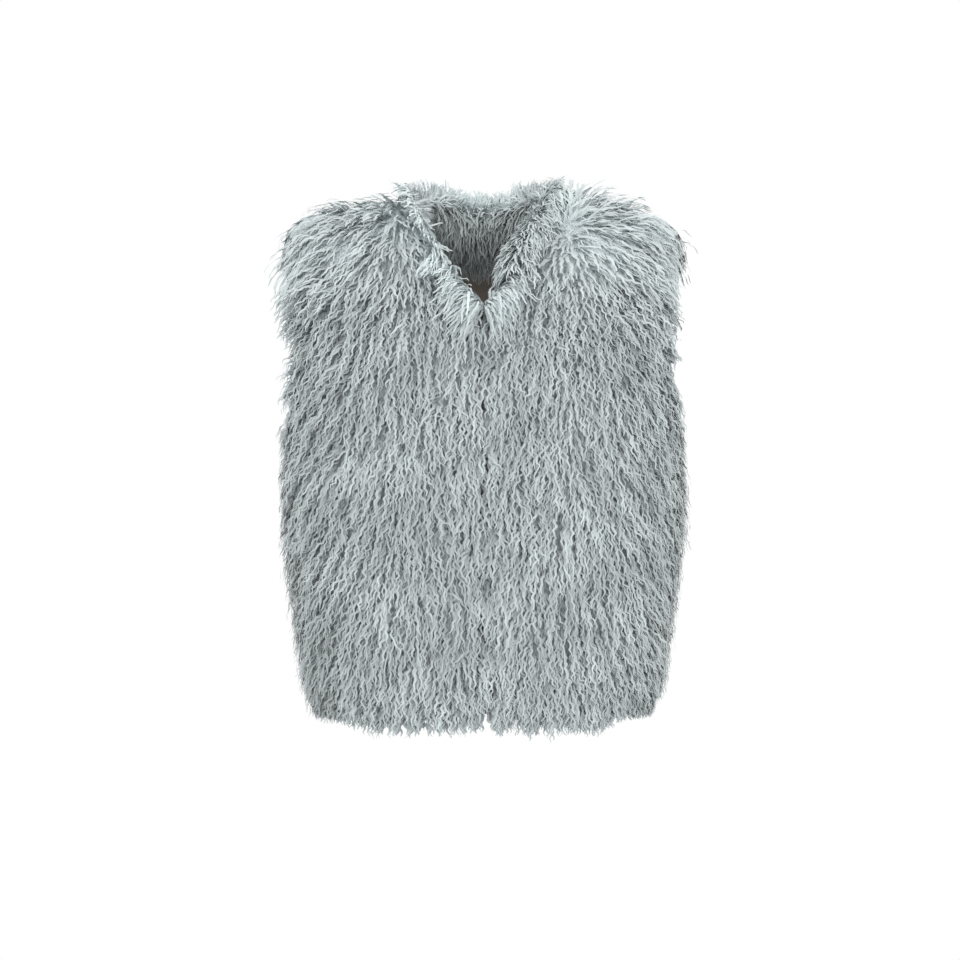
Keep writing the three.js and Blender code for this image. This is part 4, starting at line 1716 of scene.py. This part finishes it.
        lock_share, lock_turn = scatter_places(whole_face, self.locks, rng)
        share, turn = scatter_places(whole_face, self.strands, rng)
        place = share * 2
        lying, length, normal = self.lie(side, place, turn)
        sideways = np.cross(normal, lying)
        members = LockMembers.find(self.face(side, place, turn), lying, sideways,
                                   whole_face(lock_share, lock_turn))
        lying = lying + sideways * members.vary(rng, self.locks, self.variety.turn)[:, None]
        reach = (rng.normal(0, self.variety.tip_by_lock, self.locks)[members.lock]
                 + rng.uniform(*self.variety.tip, self.strands))
        length = length * (1 - half_lies(side).crown_shortened * self.crown(place, turn))
        length = length * rng.uniform(*self.variety.lay, self.strands)
        t = np.linspace(0, 1, self.crimp.steps)[None, :, None]
        root = self.arch(side, place, turn, self.root_share)[:, None, :]
        rise = self.stand(side, place, turn, normal, reach)[:, None, :] * (1 - (1 - t) ** RISE_POWER)
        spines = root + rise + lying[:, None, :] * (length[:, None, None] * t**LAY_POWER)
        spines = members.draw_in(spines, sideways, -normal, rng.uniform(*self.variety.pull, self.strands),
                                 np.full(self.strands, self.sink))
        phase = (rng.uniform(0, 2 * np.pi, self.locks)[members.lock]
                 + rng.normal(0, self.variety.phase, self.strands))
        phase = phase + 2 * np.pi * members.ahead / self.crimp.wave
        swing = rng.uniform(*self.variety.swing, self.strands)
        spine, wide, width = self.crimp.curl(spines, normal, phase, swing, rng)
        shaded, laid_open = self.shade(side, place, turn), self.opened(side, place)
        # Painted light where the collar is laid open, and painted shade with dark roots inside behind the
        # neck.
        tone = self.tone + members.vary(rng, self.locks, self.variety.tone)
        tone = np.clip(tone + self.open_painted_light * laid_open - self.painted_shade_tone * shaded, 0, 1)
        return Strands(spine, wide, width, tone, (self.pale + self.open_root_painted_light * laid_open) * (1 - shaded))

    def build(self, under: bpy.types.Material, pile: bpy.types.Material) -> None:
        """Builds and dresses the collar, in place of its CAD node.

        Args:
            under: the undercoat's material.
            pile: the strands' material.
        """
        core = self.build_core(under)
        rng = np.random.default_rng(self.seed)
        pieces = [core] + [self.grow(side, rng).build(f"{self.name}_fur_{side.name.lower()}", pile)
                           for side in (Side.RIGHT, Side.LEFT)]
        for piece in pieces:
            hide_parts(self.name)
            LOG.info("%s: %d faces", piece.name, len(piece.data.polygons))


@dataclass
class Lining:
    """A lining inside one panel, with soft upright folds where it hangs loose."""

    name: str
    node: str
    patches: tuple[Patch, ...]
    first_across: float
    flat: tuple[float, float]
    flat_area: float
    hem_up: float = 2 / 32
    gap: float = 0.0025
    seat: float = 0.0006
    thickness: float = 0.0008
    fold: float = 0.0065
    fold_depth: float = 0.6
    rows: int = 48
    columns: int = 36

    @staticmethod
    def folds(patch: Patch, across: np.ndarray, up: np.ndarray) -> np.ndarray:
        """How deep the folds are, from 0 to about 1: two waves round the body that slant as they rise.

        Args:
            patch: the patch that they are on.
            across: 0 at the centre line and 1 at the side.
            up: 0 at the hem and 1 at the neck.

        Returns:
            The depth at each place.
        """
        turn = np.radians(patch.place(across, up)[0])
        wave = np.sin(turn * 13 + 2.2 * up + patch.side.value) + 0.5 * np.sin(turn * 23 - 5 * up + 1.3)
        return (0.5 + wave / 3) ** 2 * (0.4 + 0.6 * np.sin(np.pi * np.clip(up * 1.2, 0, 1)))

    def build(self, finish: bpy.types.Material) -> None:
        """Builds and dresses the lining, in place of its CAD node.

        Args:
            finish: the lining's material.
        """
        up, across = even_grid(self.rows, self.columns, first=(self.hem_up, self.first_across))
        sheets = []
        for patch in self.patches:
            at = patch.sample(across, up)
            loose = ease(up, self.hem_up, 0.06) * ease(up, 1, -0.06) * ease(across, 1, -0.08)
            sag = self.fold * loose * self.folds(patch, across, up)
            gap = self.seat + (self.gap - self.seat) * ease(up, self.hem_up, 0.04)
            outer = at.point - at.normal * (gap + sag * self.fold_depth)[..., None]
            inner = outer - at.normal * self.thickness
            if patch.side is Side.RIGHT:
                outer, inner = outer[:, ::-1], inner[:, ::-1]
            sheets.append((outer, inner))
        outer, inner = sheets[0]
        if len(sheets) > 1:
            outer = np.concatenate([outer[:, :-1], sheets[1][0]], axis=1)[:, ::-1]
            inner = np.concatenate([inner[:, :-1], sheets[1][1]], axis=1)[:, ::-1]
        piece = make_wall(self.name, outer, inner)
        piece.data.materials.append(finish)
        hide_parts(self.node)
        LOG.info("%s: %d faces", piece.name, len(piece.data.polygons))


@dataclass(frozen=True)
class Lamp:
    """A square soft light: where it is, how wide, and its power in watts."""

    name: str
    place: Place
    size: float
    power: float


@dataclass
class Studio:
    """A plain pale floor, soft white light and the camera straight ahead."""

    floor_height: float = -1.40
    floor_radius: float = 3.0
    floor_corners: int = 96
    floor_grey: Colour = (0.8, 0.8, 0.8)
    camera_place: Place = (-0.0042, -3.0, -0.268)
    lens: float = 108.2
    sensor: float = 36
    sky: float = 0.98
    lamps: tuple[Lamp, ...] = (
        Lamp("key", (-1.1, -2.2, 1.5), 1.4, 24),
        Lamp("fill", (1.7, -1.9, 0.6), 1.6, 18),
        Lamp("back", (0.4, 2.2, 1.6), 1.6, 26),
    )

    def build_floor(self) -> None:
        """Lays the floor, a plain disc."""
        mesh = bpy.data.meshes.new("floor")
        turns = np.linspace(0, 2 * np.pi, self.floor_corners, endpoint=False)
        ring = [(self.floor_radius * math.cos(turn), self.floor_radius * math.sin(turn), self.floor_height)
                for turn in turns]
        mesh.from_pydata(ring, [], [tuple(range(len(ring)))])
        floor = bpy.data.objects.new("floor", mesh)
        bpy.context.scene.collection.objects.link(floor)
        paint = bpy.data.materials.new("floor_paint")
        paint.use_nodes = True
        shader = paint.node_tree.nodes["Principled BSDF"]
        shader.inputs["Base Color"].default_value = (*self.floor_grey, 1)
        shader.inputs["Roughness"].default_value = 0.8
        mesh.materials.append(paint)

    def build_sky(self) -> None:
        """Makes the surroundings white to the camera and a little dimmer as a light."""
        world = bpy.data.worlds.new("studio")
        bpy.context.scene.world = world
        world.use_nodes = True
        tree = world.node_tree
        light = tree.nodes["Background"]
        light.inputs["Color"].default_value = (1, 1, 1, 1)
        light.inputs["Strength"].default_value = self.sky
        seen = add_node(tree, "ShaderNodeBackground", Color=(1, 1, 1, 1), Strength=1.0)
        which = tree.nodes.new("ShaderNodeLightPath")
        chosen = tree.nodes.new("ShaderNodeMixShader")
        tree.links.new(which.outputs["Is Camera Ray"], chosen.inputs["Fac"])
        tree.links.new(light.outputs["Background"], chosen.inputs[1])
        tree.links.new(seen.outputs["Background"], chosen.inputs[2])
        tree.links.new(chosen.outputs["Shader"], tree.nodes["World Output"].inputs["Surface"])

    def hang(self, lamp: Lamp) -> None:
        """Hangs a lamp so that it faces the middle of the vest.

        Args:
            lamp: the lamp.
        """
        light = bpy.data.lights.new(lamp.name, "AREA")
        light.size, light.energy = lamp.size, lamp.power
        holder = bpy.data.objects.new(lamp.name, light)
        holder.location = lamp.place
        aim = Vector((0, 0, self.camera_place[2])) - Vector(lamp.place)
        holder.rotation_euler = aim.to_track_quat("-Z", "Y").to_euler()
        bpy.context.scene.collection.objects.link(holder)

    def place_camera(self) -> None:
        """Places the camera level and square to the front, as the photograph was taken."""
        lens = bpy.data.cameras.new("camera")
        lens.lens, lens.sensor_width = self.lens, self.sensor
        camera = bpy.data.objects.new("camera", lens)
        camera.location = self.camera_place
        camera.rotation_euler = (math.radians(90), 0, 0)
        bpy.context.scene.collection.objects.link(camera)
        bpy.context.scene.camera = camera

    def build(self) -> None:
        """Builds the studio."""
        self.build_floor()
        self.build_sky()
        for lamp in self.lamps:
            self.hang(lamp)
        self.place_camera()
        bpy.context.scene.view_settings.view_transform = "Standard"


def main() -> None:
    """Builds the vest's pieces in order, then the studio."""
    logging.basicConfig(level=logging.INFO, format="%(name)s: %(message)s")
    knit = KnitFinish("knit_backing").material()
    under = UndercoatFinish("undercoat").material()
    pile = PileFinish("crimped_pile").material()
    satin = SatinFinish("satin_lining").material()
    front_right = (Patch(Side.RIGHT, Facing.FRONT),)
    front_left = (Patch(Side.LEFT, Facing.FRONT),)
    back = (Patch(Side.RIGHT, Facing.BACK), Patch(Side.LEFT, Facing.BACK))
    panels = (
        FurPanel("front_right", front_right, Flow(parting_x=0.086, parting_z=0.0), seed=10,
                 flat=(0.29, 0.50), flat_area=0.113,
                 trim=Trim(armhole=1.4, shoulder_tip=1.05, hem_side=0.6)),
        FurPanel("front_left", front_left, Flow(parting_x=0.079, parting_z=-0.03), seed=20,
                 flat=(0.29, 0.50), flat_area=0.113,
                 trim=Trim(shoulder_top=1.45, shoulder_tip=0.92, armhole=0.95, side=0.75, hem_side=0.4)),
        FurPanel("back", back, Flow(parting_x=0.03, parting_z=0.02), seed=30,
                 flat=(0.56, 0.53), flat_area=0.236, strands=9000, locks=950),
    )
    for panel in panels:
        panel.build(knit, under, pile)
    StandCollar().build(under, pile)
    linings = (
        Lining("lining_right", "lining_front_right", front_right, FACING_SHARE,
               flat=(0.24, 0.48), flat_area=0.09),
        Lining("lining_left", "lining_front_left", front_left, FACING_SHARE,
               flat=(0.24, 0.48), flat_area=0.09),
        Lining("lining_back_sheet", "lining_back", back, 0, flat=(0.54, 0.50), flat_area=0.22),
    )
    for lining in linings:
        lining.build(satin)
    Studio().build()


if __name__ == "__main__":
    main()
